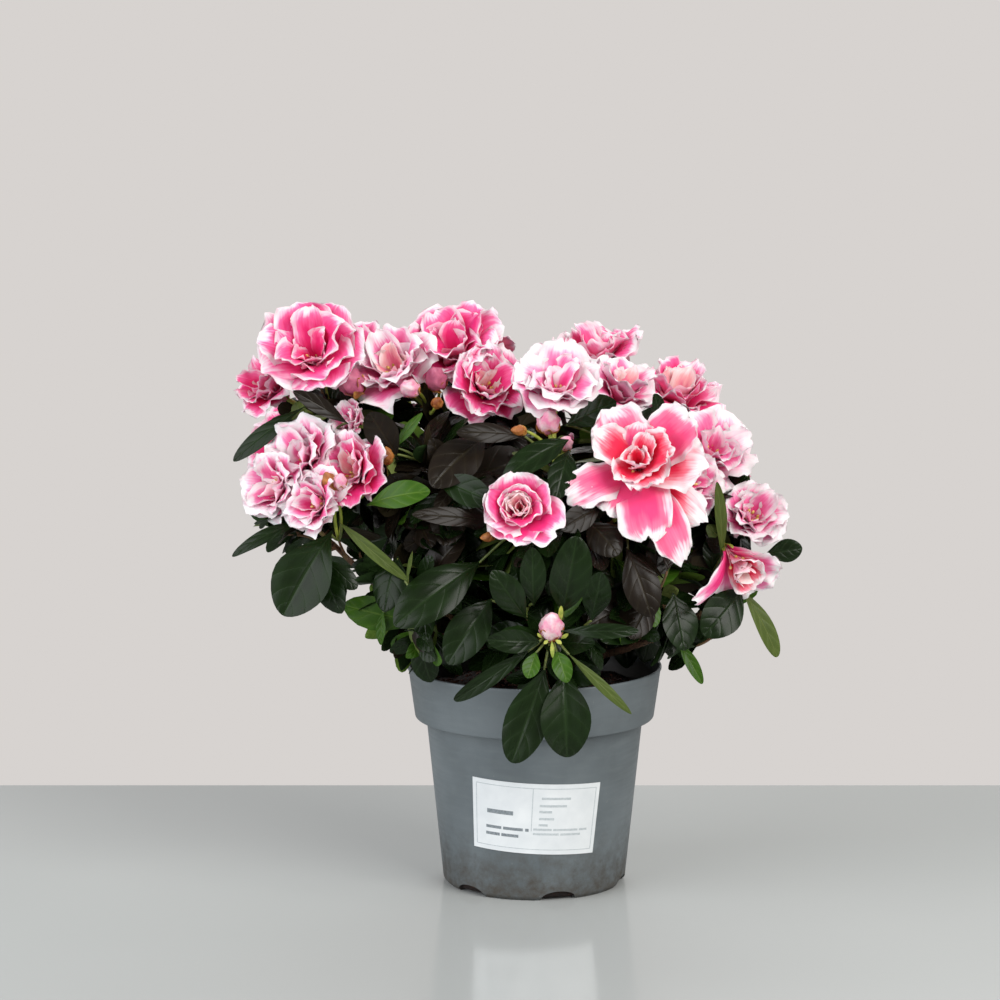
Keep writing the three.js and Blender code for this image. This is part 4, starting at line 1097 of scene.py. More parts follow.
def make_limbs(masses):
    """Trunk and boughs as tubes with bark relief. The trunk flares into ridges at the soil."""
    share = np.linspace(0, 1, TRUNK_STEPS)
    line = trunk_at(share)
    flare = TRUNK_FLARE * np.exp(-share * (line[-1, 2] - line[0, 2]) / FLARE_HEIGHT)
    radius = lerp(TRUNK_RADIUS, TRUNK_TOP_RADIUS, share) * (1 + flare)
    radius[-3:] *= [0.94, 0.8, 0.5]
    points, *faces = tubes(line[None], radius[None], TRUNK_SIDES)
    rings = points.reshape(TRUNK_STEPS, TRUNK_SIDES, 3)
    wave = np.cos(FLARE_RIDGES * np.arange(TRUNK_SIDES) * TURN / TRUNK_SIDES)
    ridge = 1 + 0.3 * flare[:, None] * wave[None]
    rings = line[:, None] + (rings - line[:, None]) * ridge[..., None]
    rings = relief(rings, line[:, None], TRUNK_RELIEF, SEEDS["trunk"])
    rings[..., 2] = np.maximum(rings[..., 2], SOIL_TOP - 3.0)
    build_piece("bark_trunk", (rings.reshape(-1, 3), *faces), "bark", ["trunk"])
    share = np.linspace(0, 1, BOUGH_STEPS)
    for mass in masses:
        sway = np.sin(share * math.pi) * np.sin(share * 9 + mass["seed"]) * BOUGH_SWAY
        line = curve(mass["line"], share) + across_of(mass["along"])[0] * sway[:, None]
        radius = lerp(BOUGH_RADIUS, BOUGH_TIP_RADIUS * 0.8, share) * (1 + BOUGH_FLARE * np.exp(-share * 14))
        knuckles = 1 + BOUGH_KNUCKLE * np.maximum(0, np.sin(share * 24 + mass["seed"])) ** 4
        points, *faces = tubes(line[None], (radius * knuckles)[None], BOUGH_SIDES)
        rings = relief(points.reshape(BOUGH_STEPS, BOUGH_SIDES, 3), line[:, None], BOUGH_RELIEF, mass["seed"])
        name = f"bough_{mass['name']}"
        build_piece(f"bark_{name}", (rings.reshape(-1, 3), *faces), "bark", [name])


# Flower heads, twigs and leaves


def bloom_at(*values):
    """A bloom or bud: its centre, radius, how far it is open, tint, the way it faces, and its depth."""
    return dict(zip(("at", "radius", "open", "tint", "face", "depth"), values))


def place_heads(masses):
    """Each head's stalk direction and foot, and its blooms with the way they face, as in the solids."""
    centres = {mass["name"]: mass["centre"] for mass in masses}
    heads = []
    for name, mass, rows in HEADS:
        blooms = []
        for at, radius, opened, tint, *face in rows:
            at = np.array(at, float)
            turned = WINDOW_LEAN * TO_WINDOW * (at[1] < WINDOW_SIDE)
            face = unit(face[0]) if face else unit(unit(at - FACED_FROM) + turned)
            depth = radius * (1 if opened < BUD_OPEN else lerp(*BLOOM_DEPTHS, opened))
            blooms.append(bloom_at(at, radius, opened, tint, face, depth))
        middle = np.mean([bloom["at"] for bloom in blooms], axis=0)
        along = unit(unit(middle - centres[mass]) + 0.3 * UP)
        closed = all(bloom["open"] < BUD_OPEN for bloom in blooms)
        reach = BUD_STALK_LENGTH if closed else STALK_LENGTH
        foot = middle - along * (reach + 0.35 * max(bloom["radius"] for bloom in blooms))
        heads.append({"name": name, "mass": mass, "blooms": blooms, "along": along, "foot": foot})
    return heads


def twig_line(start, end, lean, ending=None):
    """A twig's centre line: a quadratic curve that leans first and then spreads, or ends along a way."""
    far = np.linalg.norm(end - start)
    bend = lerp(start, end, 0.45) + lean * far * 0.18
    if ending is not None:
        bend = end - ending * far * 0.4
    return curve((start, bend, end), np.linspace(0, 1, TWIG_STEPS), 24)


def grow_mass(index, mass, heads):
    """A mass's twigs, and a spray of leaves for each: the source's shoots, then finer twigs off their sides.

    Each twig names the sprays that it carries and how far along they sit, unless it stays whatever they do.
    """
    draw = seeded(mass["seed"])
    start = mass["foot"]
    fork = start + mass["along"] * (STEM_LENGTH + CLEAR)
    stem = even(np.array([start - mass["along"] * 2, fork]), np.linspace(0, 1, TWIG_STEPS))
    twigs = [(stem, *STEM_RADII, None)]
    ends = [(head["foot"], head) for head in heads if head["mass"] == mass["name"]]
    turn = next(draw) * TURN
    for shoot in range(mass["shoots"]):
        polar = math.acos(1 - (shoot + 0.5) / mass["shoots"] * TWIG_SPREAD)
        direction = turned_from(mass["outward"], polar, turn + shoot * GOLDEN_ANGLE)
        ends.append((mass["centre"] + direction * mass["reach"] * (TWIG_REACH + 0.12 * next(draw)), None))
    random = np.random.default_rng(mass["seed"])
    sprays = []
    for root in curve(mass["line"], np.linspace(0.45, 1.0, INNER_TWIGS)):
        away = unit(random.normal(size=3) + 0.4 * mass["along"] + 0.3 * UP)
        end = root + away * random.uniform(*INNER_LENGTHS)
        twigs.append((twig_line(root, end, mass["along"] * 0.8), *INNER_RADII, {len(sprays): 1.0}))
        sprays.append((end, unit(end - root), SIDE_WHORL, LEAF_LENGTHS, index))
    for number, (tip, head) in enumerate(ends):
        origin = fork - mass["along"] * (number + 0.5) * 0.8
        line = twig_line(origin, tip, mass["along"], head and head["along"])
        carried = {len(sprays): 1.0}
        twigs.append((line, *SHOOT_RADII, None if head else carried))
        along = unit(line[-1] - line[-2])
        sprays.append((tip, along, WHORL, LEAF_LENGTHS, index))
        if head:
            sprays.append((tip + along * 5, along, SIDE_WHORL, SMALL_LEAF_LENGTHS, index))
        for side in range(SIDE_TWIGS):
            share = SIDE_FROM + SIDE_APART * side + 0.1 * random.random()
            root = even(line, [share])[0]
            away = unit(unit(root - mass["centre"] + mass["outward"] * 6) + random.normal(size=3) * 0.55
                        + 0.5 * along + 0.15 * UP)
            end = root + away * random.uniform(*SIDE_LENGTHS)
            carried[len(sprays)] = share
            twigs.append((twig_line(root, end, along * 0.8), *FINE_RADII, {len(sprays): 1.0}))
            sprays.append((end, unit(end - root), SIDE_WHORL, SMALL_LEAF_LENGTHS, index))
    return twigs, sprays


def spray_tint(tip, random):
    """The tint of one spray: bronze high on the crown, fresh green here and there, dark green elsewhere."""
    shares = TINT_SHARES + TINT_SHIFTS * np.clip((tip[2] - BRONZE_FROM) / BRONZE_RISE, 0, 1)
    return int(random.choice(len(TINTS), p=shares / shares.sum()))


def whorl(spray, number_of_spray, random):
    """Leaves round a shoot's tip on a golden spiral, opening further the lower they sit, and hanging a bit.

    Each row is root, tip, upper side, width, tint, mass and spray.
    """
    tip, along, count, lengths, index = spray
    tint = spray_tint(tip, random)
    turn = random.uniform(0, TURN)
    rows = []
    for number in range(count):
        opening = lerp(*LEAF_OPENING, (number + random.random()) / count)
        direction = unit(turned_from(along, opening, turn + number * GOLDEN_ANGLE) - LEAF_HANG * UP)
        length = lerp(*lengths, random.random()) * lerp(0.72, 1.0, number / count)
        root = tip - along * (0.4 + LEAF_APART * number)
        width = length * LEAF_WIDTH_SHARE * random.uniform(0.85, 1.2)
        rows.append((root, root + direction * length, along + 0.5 * UP, width, tint, index, number_of_spray))
    return rows


def in_own_space(points, index):
    """Whether points lie within their mass's reach and not well inside a neighbour's."""
    shares = np.linalg.norm(points[:, None] - CENTRES, axis=2) / REACHES
    own = shares[np.arange(len(points)), index]
    return (own < SPACE_REACH) & (own < shares.min(axis=1) + SPACE_SHARED)


def clear_of_flowers(points, blooms):
    """Whether points lie outside every bloom, and not close in front of its face."""
    keep = np.ones(len(points), bool)
    for bloom in blooms:
        off = points - bloom["at"]
        rise = off @ bloom["face"]
        wide = np.linalg.norm(off - rise[:, None] * bloom["face"], axis=1)
        radius = max(bloom["radius"], 8)
        inside = (wide < 0.8 * radius) & (rise > -0.9 * bloom["depth"]) & (rise < 0.9 * radius)
        front = (wide < radius) & (rise > 0) & (rise < FLOWER_VIEW)
        keep &= ~(inside | front)
    return keep


def in_outline(points):
    """Whether points lie above the crown's lower edge, which rises outwards, within its right edge, and out
    of the gap that the soil shows through."""
    x, y, z = points.T
    beyond = (x > RIGHT_EDGE) & (z > RIGHT_EDGE_FROM)
    gap = (x > GAP_SIDES[0]) & (x < GAP_SIDES[1]) & (y < GAP_BACK) & (z < GAP_HEIGHT - GAP_RISE * y)
    return (z > SKIRT_HEIGHT + SKIRT_SLOPE * np.maximum(np.hypot(x, y) - SKIRT_START, 0)) & ~beyond & ~gap


def clear_of_pot(points):
    """Whether points lie above the soil, and outside the pot's collar where they hang below its rim."""
    radius = np.hypot(points[:, 0], points[:, 1])
    outside = radius > RIM_RADIUS + POT_ROOM
    above = points[:, 2] > POT_HEIGHT + POT_ROOM
    within = (points[:, 2] > SOIL_TOP + POT_ROOM) & (radius < RIM_RADIUS - RIM_ROOM)
    return outside & (points[:, 2] > SOIL_TOP - HANG_LOWEST) | above | within


def single_leaf(row):
    """A row of the single leaves as root, tip and width."""
    return np.array(row[:3], float), np.array(row[3:6], float), row[6]


def clear_of_singles(points):
    """Whether points lie out of the way of the leaves that show singly: not close before their upper side."""
    keep = np.ones(len(points), bool)
    for row in KEPT_CLEAR:
        root, tip, width = single_leaf(row)
        line = tip - root
        share = np.clip((points - root) @ line / (line @ line), 0, 1)
        off = points - root - share[:, None] * line
        beside = np.hypot(off[:, 0], off[:, 2])
        before = (off[:, 1] < 1.5) & (off[:, 1] > -LEAF_VIEW)
        keep &= ~((beside < 0.45 * width + 1.5) & before)
    return keep


def within_box(points):
    """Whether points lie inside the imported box."""
    return ((points > BOX_LOW + KEPT_INSIDE) & (points < BOX_HIGH - KEPT_INSIDE)).all(axis=1)


def kept_leaves(rows, blooms):
    """The leaves that stay in their space along their length, clear of flowers, pot and single leaves."""
    root, tip, mass = (np.array([row[place] for row in rows]) for place in (0, 1, 5))
    keep = np.ones(len(rows), bool)
    for share in LEAF_SAMPLES:
        points = lerp(root, tip, share)
        if share > 0.5:
            keep &= in_own_space(points, mass)
        keep &= clear_of_flowers(points, blooms) & clear_of_pot(points) & in_outline(points)
        keep &= clear_of_singles(points) & within_box(points)
    return [row for row, wanted in zip(rows, keep) if wanted]


def cut_back(twigs, kept):
    """Twigs cut back to the last leaf or side twig that is kept on them, or left out where nothing is."""
    roots = {}
    for row in kept:
        roots.setdefault(row[6], []).append(row[0])
    left = []
    for line, low, high, carried in twigs:
        if carried is not None:
            length = np.linalg.norm(np.diff(line, axis=0), axis=1).sum()
            last = 0.0
            for spray in roots.keys() & carried.keys():
                back = 0.0
                if carried[spray] == 1.0:
                    back = np.linalg.norm(np.array(roots[spray]) - line[-1], axis=1).min()
                last = max(last, carried[spray] - back / length)
            if last < 0.1:
                continue
            line = even(line, np.linspace(0, last, len(line)))
        left.append((line, low, high))
    return left


def single_rows(spots):
    """The single leaves, and a thin green twig that carries each from the nearest of the twigs' spots."""
    rows, twigs = [], []
    for tint, leaves in SINGLE_LEAVES.items():
        for root, tip, width in map(single_leaf, leaves):
            start = nearest(spots, root)
            way = unit(unit(root - start) + unit(tip - root))
            if np.linalg.norm(root - start) > 1.5:
                twigs.append((twig_line(start, root + unit(tip - root), way), *FINE_RADII))
            upper = unit(lerp(root, tip, 0.5) - FACED_FROM) + 1.4 * TO_WINDOW + 0.2 * UP
            rows.append((root, tip, upper, width, TINTS.index(tint)))
    return rows, twigs


def leaf_grids(rows, random, steps=10, columns=5):
    """Leaf blades. The midrib is an arc from root to tip; the half width along it is a root of a sine of a
    power of the length, so that it is widest past the middle and ends bluntly; across it the blade folds up
    from the midrib, turns down towards its edges and waves a little along them; and it twists about it."""
    def draws(key):
        """One value of every leaf's form."""
        return random.uniform(*LEAF_FORM[key], len(rows))

    u = 0.5 - 0.5 * np.cos(math.pi * np.linspace(0, 1, steps) ** 0.93)
    v = np.linspace(-1, 1, columns)
    v = np.sign(v) * np.abs(v) ** 0.85
    count = len(rows)
    root, tip, upper = (np.array([row[place] for row in rows], float) for place in (0, 1, 2))
    width = np.array([row[3] for row in rows], float)
    chord = np.linalg.norm(tip - root, axis=1)
    along = (tip - root) / chord[:, None]
    side = unit(np.cross(upper, along))
    top = np.cross(along, side)
    arc = draws("arc")[:, None]
    bent = arc * (0.5 - u)[None]
    whole = 2 * np.sin(arc / 2)
    forward = (np.sin(arc / 2) - np.sin(bent)) / whole
    rise = (np.cos(bent) - np.cos(arc / 2)) / whole
    line = forward[..., None] * along[:, None] + rise[..., None] * top[:, None]
    centre = root[:, None] + chord[:, None, None] * line
    normal = np.cos(bent)[..., None] * top[:, None] - np.sin(bent)[..., None] * along[:, None]
    twist = (draws("twist")[:, None] * (u - 0.2)[None])[..., None]
    across = np.cos(twist) * side[:, None] + np.sin(twist) * normal
    normal = np.cos(twist) * normal - np.sin(twist) * side[:, None]
    power = draws("widest")[:, None]
    blunt = draws("blunt")[:, None]
    shape = np.maximum(np.sin(math.pi * u[None] ** power) ** (blunt + lerp(0.2, -0.16, u[None])), 0.05)
    half = shape * width[:, None] / 2
    fold = draws("fold")[:, None, None]
    turned = draws("down")[:, None, None]
    phase = random.uniform(0, TURN, count)[:, None, None]
    wave = LEAF_WAVE * np.sin(u[None, :, None] * 9 + phase + v) * np.abs(v)
    height = half[..., None] * (fold * np.abs(v) - turned * v ** 2 + wave)
    points = centre[:, :, None] + (v * half[..., None])[..., None] * across[:, :, None]
    points = points + height[..., None] * normal[:, :, None]
    return points, np.broadcast_to(normal[:, :, None], points.shape)


def blades(rows, random, thick, steps=10, columns=5):
    """Closed blades for rows of leaves, each with a tile of its own."""
    points, inward = leaf_grids(rows, random, steps, columns)
    return closed_sheets(points, inward, thick, random.integers(0, UPPER_TILES, len(rows)))


def make_leaves(rows, singles):
    """All the leaves, joined by tint; the single ones in front have more steps."""
    random = seeded_by("leaves")
    for number, tint in enumerate(TINTS):
        own, front = ([row for row in group if row[4] == number] for group in (rows, singles))
        sheets = joined([blades(own, random, LEAF_THICK), blades(front, random, LEAF_THICK, *SINGLE_STEPS)])
        nodes = [f"foliage_{mass['name']}" for mass in MASSES[number::len(TINTS)]]
        build_piece(f"leaves_{tint}", sheets, tint, nodes, crease=EDGE_CREASE)


def make_twigs(twigs, name, finish_name):
    """Twigs or stalks as thin tapering tubes, joined."""
    paths, low, high = (np.array(part) for part in zip(*twigs))
    share = np.linspace(0, 1, paths.shape[1])
    radii = low[:, None] * (1 - share) + high[:, None] * share
    build_piece(name, tubes(paths, radii, 6), finish_name)


# Blossom

# Rings of petals in a double flower, from the outside in: how many, how far they reach in radii, half width
# in radii, the angle from the axis that they end at when closed and open, cupping, ruffling, the ring's turn
RING_FIELDS = ("count", "reach", "half", "closed", "opened", "cup", "ruffle", "turn")
RINGS = [dict(zip(RING_FIELDS, row)) for row in (
    (5, 1.10, 0.62, 0.6, 1.75, -0.08, 0.17, 0.0),
    (5, 0.92, 0.54, 0.5, 1.40, 0.05, 0.20, 0.5),
    (5, 0.68, 0.38, 0.4, 1.10, 0.30, 0.20, 0.2),
    (4, 0.40, 0.25, 0.25, 0.80, 0.50, 0.20, 0.6),
)]

# How much the petals in the rings vary, and those listed one by one
VARIES = {"turn": (-0.2, 0.2), "half": (0.85, 1.12), "reach": (0.88, 1.06), "end": (-0.22, 0.22),
          "cup": (-0.14, 0.14), "ruffle": (0.7, 1.3), "roll": (-0.25, 0.25),
          "set_ruffle": (0.09, 0.15), "set_roll": (-0.12, 0.12)}

# Petals listed one by one for the flowers that show closest: turn from the right in degrees as seen from the
# front, reach, half width, the angle from the axis that the petal ends at, cupping and tint.
SET_PETALS = {
    "front_right": [
        (122, 27, 13.5, 1.5, 0.05, "blush"), (152, 22, 9, 1.2, 0.15, "coral"),
        (212, 37, 10.5, 1.9, -0.1, "blush"), (243, 28, 11.5, 1.75, -0.05, "blush"),
        (281, 39, 13, 1.95, -0.05, "blush"), (296, 51, 9.5, 2.3, -0.1, "blush"),
        (320, 40, 9.5, 2.05, -0.05, "coral"), (356, 32, 13, 1.6, 0.05, "coral"),
        (38, 31, 13, 1.45, 0.05, "blush"), (84, 17, 8, 1.25, 0.1, "blush"), (8, 20, 10.5, 0.95, 0.3, "coral"),
        (312, 18, 12, 1.2, 0.35, "coral"), (55, 15, 6, 0.75, 0.15, "coral"), (238, 15, 8, 1.05, 0.3, "coral"),
        (198, 11, 5.5, 0.65, 0.9, "coral"), (330, 11, 6, 0.6, 0.6, "coral"), (100, 8, 4, 0.4, 0.5, "coral"),
    ],
    "front_centre": [
        (100, 17, 12.5, 1.1, 0.2, "rose"), (155, 17, 12, 1.1, 0.2, "rose"), (212, 17, 12, 1.15, 0.15, "rose"),
        (262, 18, 12.5, 1.15, 0.15, "rose"), (325, 23, 12, 1.4, 0.05, "rose"),
        (35, 17, 12, 1.15, 0.2, "rose"), (75, 12, 9, 0.8, 0.35, "rose"), (300, 13, 9, 0.8, 0.35, "rose"),
        (185, 12, 9, 0.8, 0.35, "rose"), (165, 11, 6.5, 0.9, 0.5, "cream"),
        (212, 11, 6.5, 0.85, 0.5, "coral"), (120, 10, 6, 0.8, 0.5, "cream"), (30, 9, 6, 0.55, 0.6, "cream"),
        (75, 9, 6, 0.5, 0.6, "cream"), (330, 8, 5.5, 0.55, 0.6, "coral"), (270, 8, 5.5, 0.5, 0.6, "cream"),
        (0, 4, 4, 0.22, 0.4, "cream"), (180, 4, 4, 0.22, 0.4, "cream"),
    ],
    "right_low": [
        (203, 27, 4.8, 1.5, -0.3, "rose"), (262, 17, 9, 1.5, 0, "pale"), (300, 20, 9.5, 1.55, 0, "coral"),
        (338, 22, 10, 1.55, 0, "pale"), (15, 17, 8.5, 1.2, 0.1, "pale"), (60, 12, 7.5, 0.9, 0.3, "coral"),
        (120, 8, 5, 0.6, 0.8, "cream"), (165, 9, 5, 0.6, 0.9, "cream"), (210, 8, 5, 0.5, 0.9, "cream"),
        (320, 12, 8.5, 0.85, 0.3, "coral"),
    ],
}


def petal_rows(head, bloom, number):
    """The petals of one bloom: listed one by one, or ring by ring with each a little off its regular place."""
    random = seeded_by("blooms", number)
    face, radius = bloom["face"], bloom["radius"]
    right = unit(np.cross(UP, face))
    above = np.cross(face, right)
    base = bloom["at"] - face * bloom["depth"] * 1.05
    large = radius > LARGE_BLOOM
    rows = []

    def varied(key):
        """A value that varies from petal to petal."""
        return random.uniform(*VARIES[key])

    def add_petal(angle, **values):
        """One more petal, on its side of the flower's axis."""
        rows.append({"face": face, "radial": right * math.cos(angle) + above * math.sin(angle), **values})

    if head in SET_PETALS and (large or head != "front_right"):
        for degrees, reach, half, end, cup, tint in SET_PETALS[head]:
            lift = (1.9 - end) * 7.0 - 0.28 * (reach - 0.9 * radius)
            add_petal(math.radians(degrees), reach=reach, limit=reach * 1.6, half=half, end=end, cup=cup,
                      ruffle=half * varied("set_ruffle"), base=base + face * lift, tint=tint,
                      large=True, frill=0.45 if large else 0.12, roll=varied("set_roll"))
        return rows
    spread = BLOOM_SWELL * radius * lerp(0.68, 1.0, bloom["open"])
    turn = random.uniform(0, TURN)
    for place, ring in enumerate(RINGS):
        tint = "cream" if place == 3 and number % 2 else bloom["tint"]
        for petal in range(ring["count"]):
            angle = turn + (petal + ring["turn"]) * TURN / ring["count"] + varied("turn")
            half = spread * ring["half"] * varied("half")
            add_petal(angle, half=half, limit=radius * 1.7, tint=tint, large=large, frill=0.0,
                      reach=spread * ring["reach"] * varied("reach"),
                      end=lerp(ring["closed"], ring["opened"], bloom["open"]) + varied("end"),
                      cup=ring["cup"] + varied("cup"), ruffle=half * ring["ruffle"] * varied("ruffle"),
                      base=base + face * place * RING_STEP * radius, roll=varied("roll"))
    return rows


def petal_outline(steps, widest, blunt):
    """Half width along a petal, as a share: a sine rises from the claw, then a power falls to the tip."""
    u = 1 - (1 - np.linspace(0, 1, steps)) ** 1.35
    rise = np.sin(math.pi / 2 * np.minimum(u / widest, 1)) ** 1.25
    fall = (1 - (0.97 * np.maximum((u - widest) / (1 - widest), 0)) ** blunt) ** 0.44
    return u, (0.17 + 0.83 * rise) * fall


def petal_grids(rows, steps, columns, widest, blunt, random):
    """Petals. The middle line leaves the throat at a small angle to the flower's axis and bends out to its
    end angle, summed up in small steps; the outline rises from a narrow claw to its widest past the middle
    and ends bluntly, with small scallops; across it the petal cups and rolls, and it ruffles by sines that
    run round the margin and grow towards it."""
    def column(key):
        """One value of every petal."""
        return np.array([row[key] for row in rows], float)

    cup, roll, ruffle, frill, half = (
        column(key)[:, None, None] for key in ("cup", "roll", "ruffle", "frill", "half"))
    count = len(rows)
    face, radial, base = column("face"), column("radial"), column("base")
    side = np.cross(face, radial)
    u, outline = petal_outline(steps, widest, blunt)
    v = np.linspace(-1, 1, columns)
    fine = np.linspace(0, 1, 8 * steps)
    power = random.uniform(*PETAL_BEND, count)[:, None]
    angle = THROAT_ANGLE + (column("end")[:, None] - THROAT_ANGLE) * fine[None] ** power
    step = np.diff(fine)[None]
    middle = (angle[:, 1:] + angle[:, :-1]) / 2
    out = np.concatenate([np.zeros((count, 1)), np.cumsum(np.sin(middle) * step, axis=1)], axis=1)
    rise = np.concatenate([np.zeros((count, 1)), np.cumsum(np.cos(middle) * step, axis=1)], axis=1)
    spots = np.clip(np.round(u * (len(fine) - 1)).astype(int), 0, len(fine) - 1)
    length = np.minimum(column("reach") / out[:, -1], column("limit"))[:, None]
    out, rise, angle = out[:, spots] * length, rise[:, spots] * length, angle[:, spots]
    centre = base[:, None] + (out + 0.6)[..., None] * radial[:, None] + rise[..., None] * face[:, None]
    tangent = np.sin(angle)[..., None] * radial[:, None] + np.cos(angle)[..., None] * face[:, None]
    inner = np.sin(angle)[..., None] * face[:, None] - np.cos(angle)[..., None] * radial[:, None]
    phase = random.uniform(0, TURN, (6, count, 1, 1))
    uu, vv = u[None, :, None], v[None, None, :]
    half = half * outline[None, :, None]
    scallops = 0.05 * np.sin(11 * uu + phase[0] + 2 * np.sign(vv))
    scallops = scallops + 0.025 * np.sin(23 * uu + phase[1] + 5 * vv)
    wide = half * vv * (1 + scallops * np.abs(vv) ** 3)
    notch = random.uniform(0, 0.05, count)[:, None, None] * np.exp(-(vv / 0.35) ** 2)
    wobble = 0.02 * np.sin(4 * vv + phase[2]) + 0.006 * np.sin(11 * vv + phase[3])
    pull = length[..., None] * (0.05 * vv ** 2 * uu ** 2 + (notch + wobble) * uu ** 6)
    sideways = vv * outline[None, :, None]
    forward = (uu - 0.5) * 1.9
    round_ = np.arctan2(sideways, forward)
    far = np.minimum(np.hypot(sideways, forward), 1.15)
    waves = (0.9 * np.sin(5 * round_ + phase[4]) * far ** 3 + 0.45 * np.sin(11 * round_ + phase[5]) * far ** 5
             + frill * np.sin(21 * round_ + phase[3]) * far ** 7)
    lift = (cup * half * vv ** 2 * 1.3 + roll * half * vv * uu
            - KEEL * half * np.exp(-(vv / 0.18) ** 2) * (1 - uu) + ruffle * waves * np.minimum(uu * 3, 1))
    hug = wide ** 2 / (2 * (out[..., None] + 4.0)) * (1 - uu) ** 2 * 0.6
    points = (centre[:, :, None] + wide[..., None] * side[:, None, None]
              + (lift + hug)[..., None] * inner[:, :, None] - pull[..., None] * tangent[:, :, None])
    return points, np.broadcast_to(inner[:, :, None], points.shape)


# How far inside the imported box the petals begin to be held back, and the room they have beyond, by axis
HOLD_INSIDE = np.array([-2.0, 5.0, -4.0])
HOLD_ROOM = np.array([8.0, 13.0, 7.0])


def inside_box(points):
    """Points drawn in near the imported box's sides: the way on from there is shortened by an exponential that
    never reaches the room it has."""
    over = np.maximum(points - (BOX_HIGH - HOLD_INSIDE), 0)
    under = np.maximum(BOX_LOW + HOLD_INSIDE - points, 0)
    held_over, held_under = (HOLD_ROOM * (1 - np.exp(-past / HOLD_ROOM)) for past in (over, under))
    return points - over + held_over + under - held_under


def make_petals(heads):
    """All the petals, joined by tint, with more steps in the large flowers."""
    random = seeded_by("petals")
    blooms = [(head["name"], bloom) for head in heads for bloom in head["blooms"]
              if bloom["open"] >= BUD_OPEN]
    rows = [row for number, (name, bloom) in enumerate(blooms) for row in petal_rows(name, bloom, number)]
    for number, tint in enumerate(PETAL_TINTS):
        parts = []
        for large, form in PETAL_FORMS.items():
            own = [row for row in rows if row["tint"] == tint and row["large"] == large]
            if own:
                points, inward = petal_grids(own, *form, random)
                tiles = random.integers(0, UPPER_TILES, len(own))
                parts.append(closed_sheets(inside_box(points), inward, PETAL_THICK, tiles))
        nodes = [f"flowers_{head['name']}" for head in heads[number::len(PETAL_TINTS)]]
        build_piece(f"petals_{tint}", joined(parts), tint, nodes, crease=EDGE_CREASE)


def make_stamens(blooms):
    """Thin filaments that bend out of each open throat, with a small anther on each."""
    random = seeded_by("stamens")
    paths = []
    for bloom in blooms:
        if bloom["open"] < STAMENS_FROM:
            continue
        at, face, radius = bloom["at"], bloom["face"], bloom["radius"]
        base = at - face * bloom["depth"]
        for number in range(FILAMENTS):
            out = turned_from(face, math.pi / 2, number * GOLDEN_ANGLE)
            far = radius * random.uniform(*FILAMENT_SPREAD)
            end = at + face * radius * random.uniform(*FILAMENT_RISE) + out * far
            bend = base + face * radius * 0.6 + out * far * 0.4
            paths.append(curve((base, bend, end), np.linspace(0, 1, 6), 16))
    paths = np.array(paths)
    threads = tubes(paths, np.full(paths.shape[:2], FILAMENT_RADIUS), 5)
    build_piece("filaments", threads, "filament")
    way = unit(paths[:, -1] - paths[:, -2])[:, None]
    lines = paths[:, -1:] + way * np.linspace(-1, 1, 5)[:, None] * ANTHER_HALF
    knobs = tubes(lines, np.broadcast_to(ANTHER_RADII, lines.shape[:2]), 6)
    build_piece("anthers", knobs, "anther")


def head_stalks(heads):
    """Flower stalks from each head's foot to its blooms."""
    stalks = []
    for head in heads:
        foot, along = head["foot"], head["along"]
        hub = foot + along * (0 if len(head["blooms"]) == 1 else STALK_LENGTH * 0.3)
        stalks.append((twig_line(foot - along * 1.5, hub + along, along), *HEAD_STALK_RADII))
        for bloom in head["blooms"]:
            seat = bloom["at"] - bloom["face"] * bloom["depth"] * 1.05
            stalks.append((twig_line(hub, seat, along * 0.5, bloom["face"]), *BLOOM_STALK_RADII))
    return stalks


def make_buds(buds):
    """Closed buds: spindles with five folded ridges that wind a little, pointed at the tip."""
    share = np.linspace(0, 1, 13)
    profile = np.sin(math.pi * share ** 0.8 * 0.97 + 0.03) ** 0.75
    for tint in ("rose", "pale", "brown"):
        at, face, radius = (np.array([bud[key] for bud in buds if bud["tint"] == tint], float)
                            for key in ("at", "face", "radius"))
        radius = radius[:, None]
        lines = at[:, None] + face[:, None] * (share[None] * 3.1 - 1.6)[..., None] * radius[..., None]
        spindles = tubes(lines, radius * profile[None], BUD_SIDES, *BUD_RIDGES)
        build_piece(f"buds_{tint}", spindles, f"bud_{tint}")


def scale_rows(items, random):
    """Bud scales and calyx lobes: small blades that hug the base of each bud and bloom."""
    rows = []
    for item in items:
        closed = item["open"] < BUD_OPEN
        face = item["face"]
        radius = item["radius"] * (1 if closed else 0.16)
        base = item["at"] - face * (1.6 * radius if closed else item["depth"] * 1.1)
        count, low, high, wide = BUD_SCALES if closed else CALYX_LOBES
        for number in range(count):
            out = turned_from(face, math.pi / 2, number * TURN / count + random.uniform(-0.2, 0.2))
            tip = base + face * radius * random.uniform(low, high) + out * radius * wide
            rows.append((base - face * 0.3 * radius, tip, out, radius * 0.9))
    return rows


def make_scales(buds, blooms):
    """The buds' brown scales, and the blooms' green calyx lobes with the front bud's bracts."""
    random = seeded_by("scales")
    for name, finish_name, rows in (("bud_scales", "scale", scale_rows(buds, random)),
                                    ("calyx_lobes", "calyx", scale_rows(blooms, random) + BRACTS)):
        scales = blades(rows, random, SCALE_THICK)[:2]
        build_piece(name, scales, finish_name, crease=EDGE_CREASE)


def extra_buds(spots):
    """The small buds among the leaves, and a short green stalk for each from a twig below it."""
    buds, stalks = [], []
    for at, radius, tint, face, foot in EXTRA_BUDS:
        at, face = np.array(at, float), unit(face)
        start = nearest(spots, foot)
        seat = at - face * radius * 1.4
        stalks.append((twig_line(start, seat, unit(unit(seat - start) - face)), *BUD_STALK_RADII))
        buds.append(bloom_at(at, radius, CLOSED, tint, face, radius))
    return buds, stalks


# Camera, light and floor

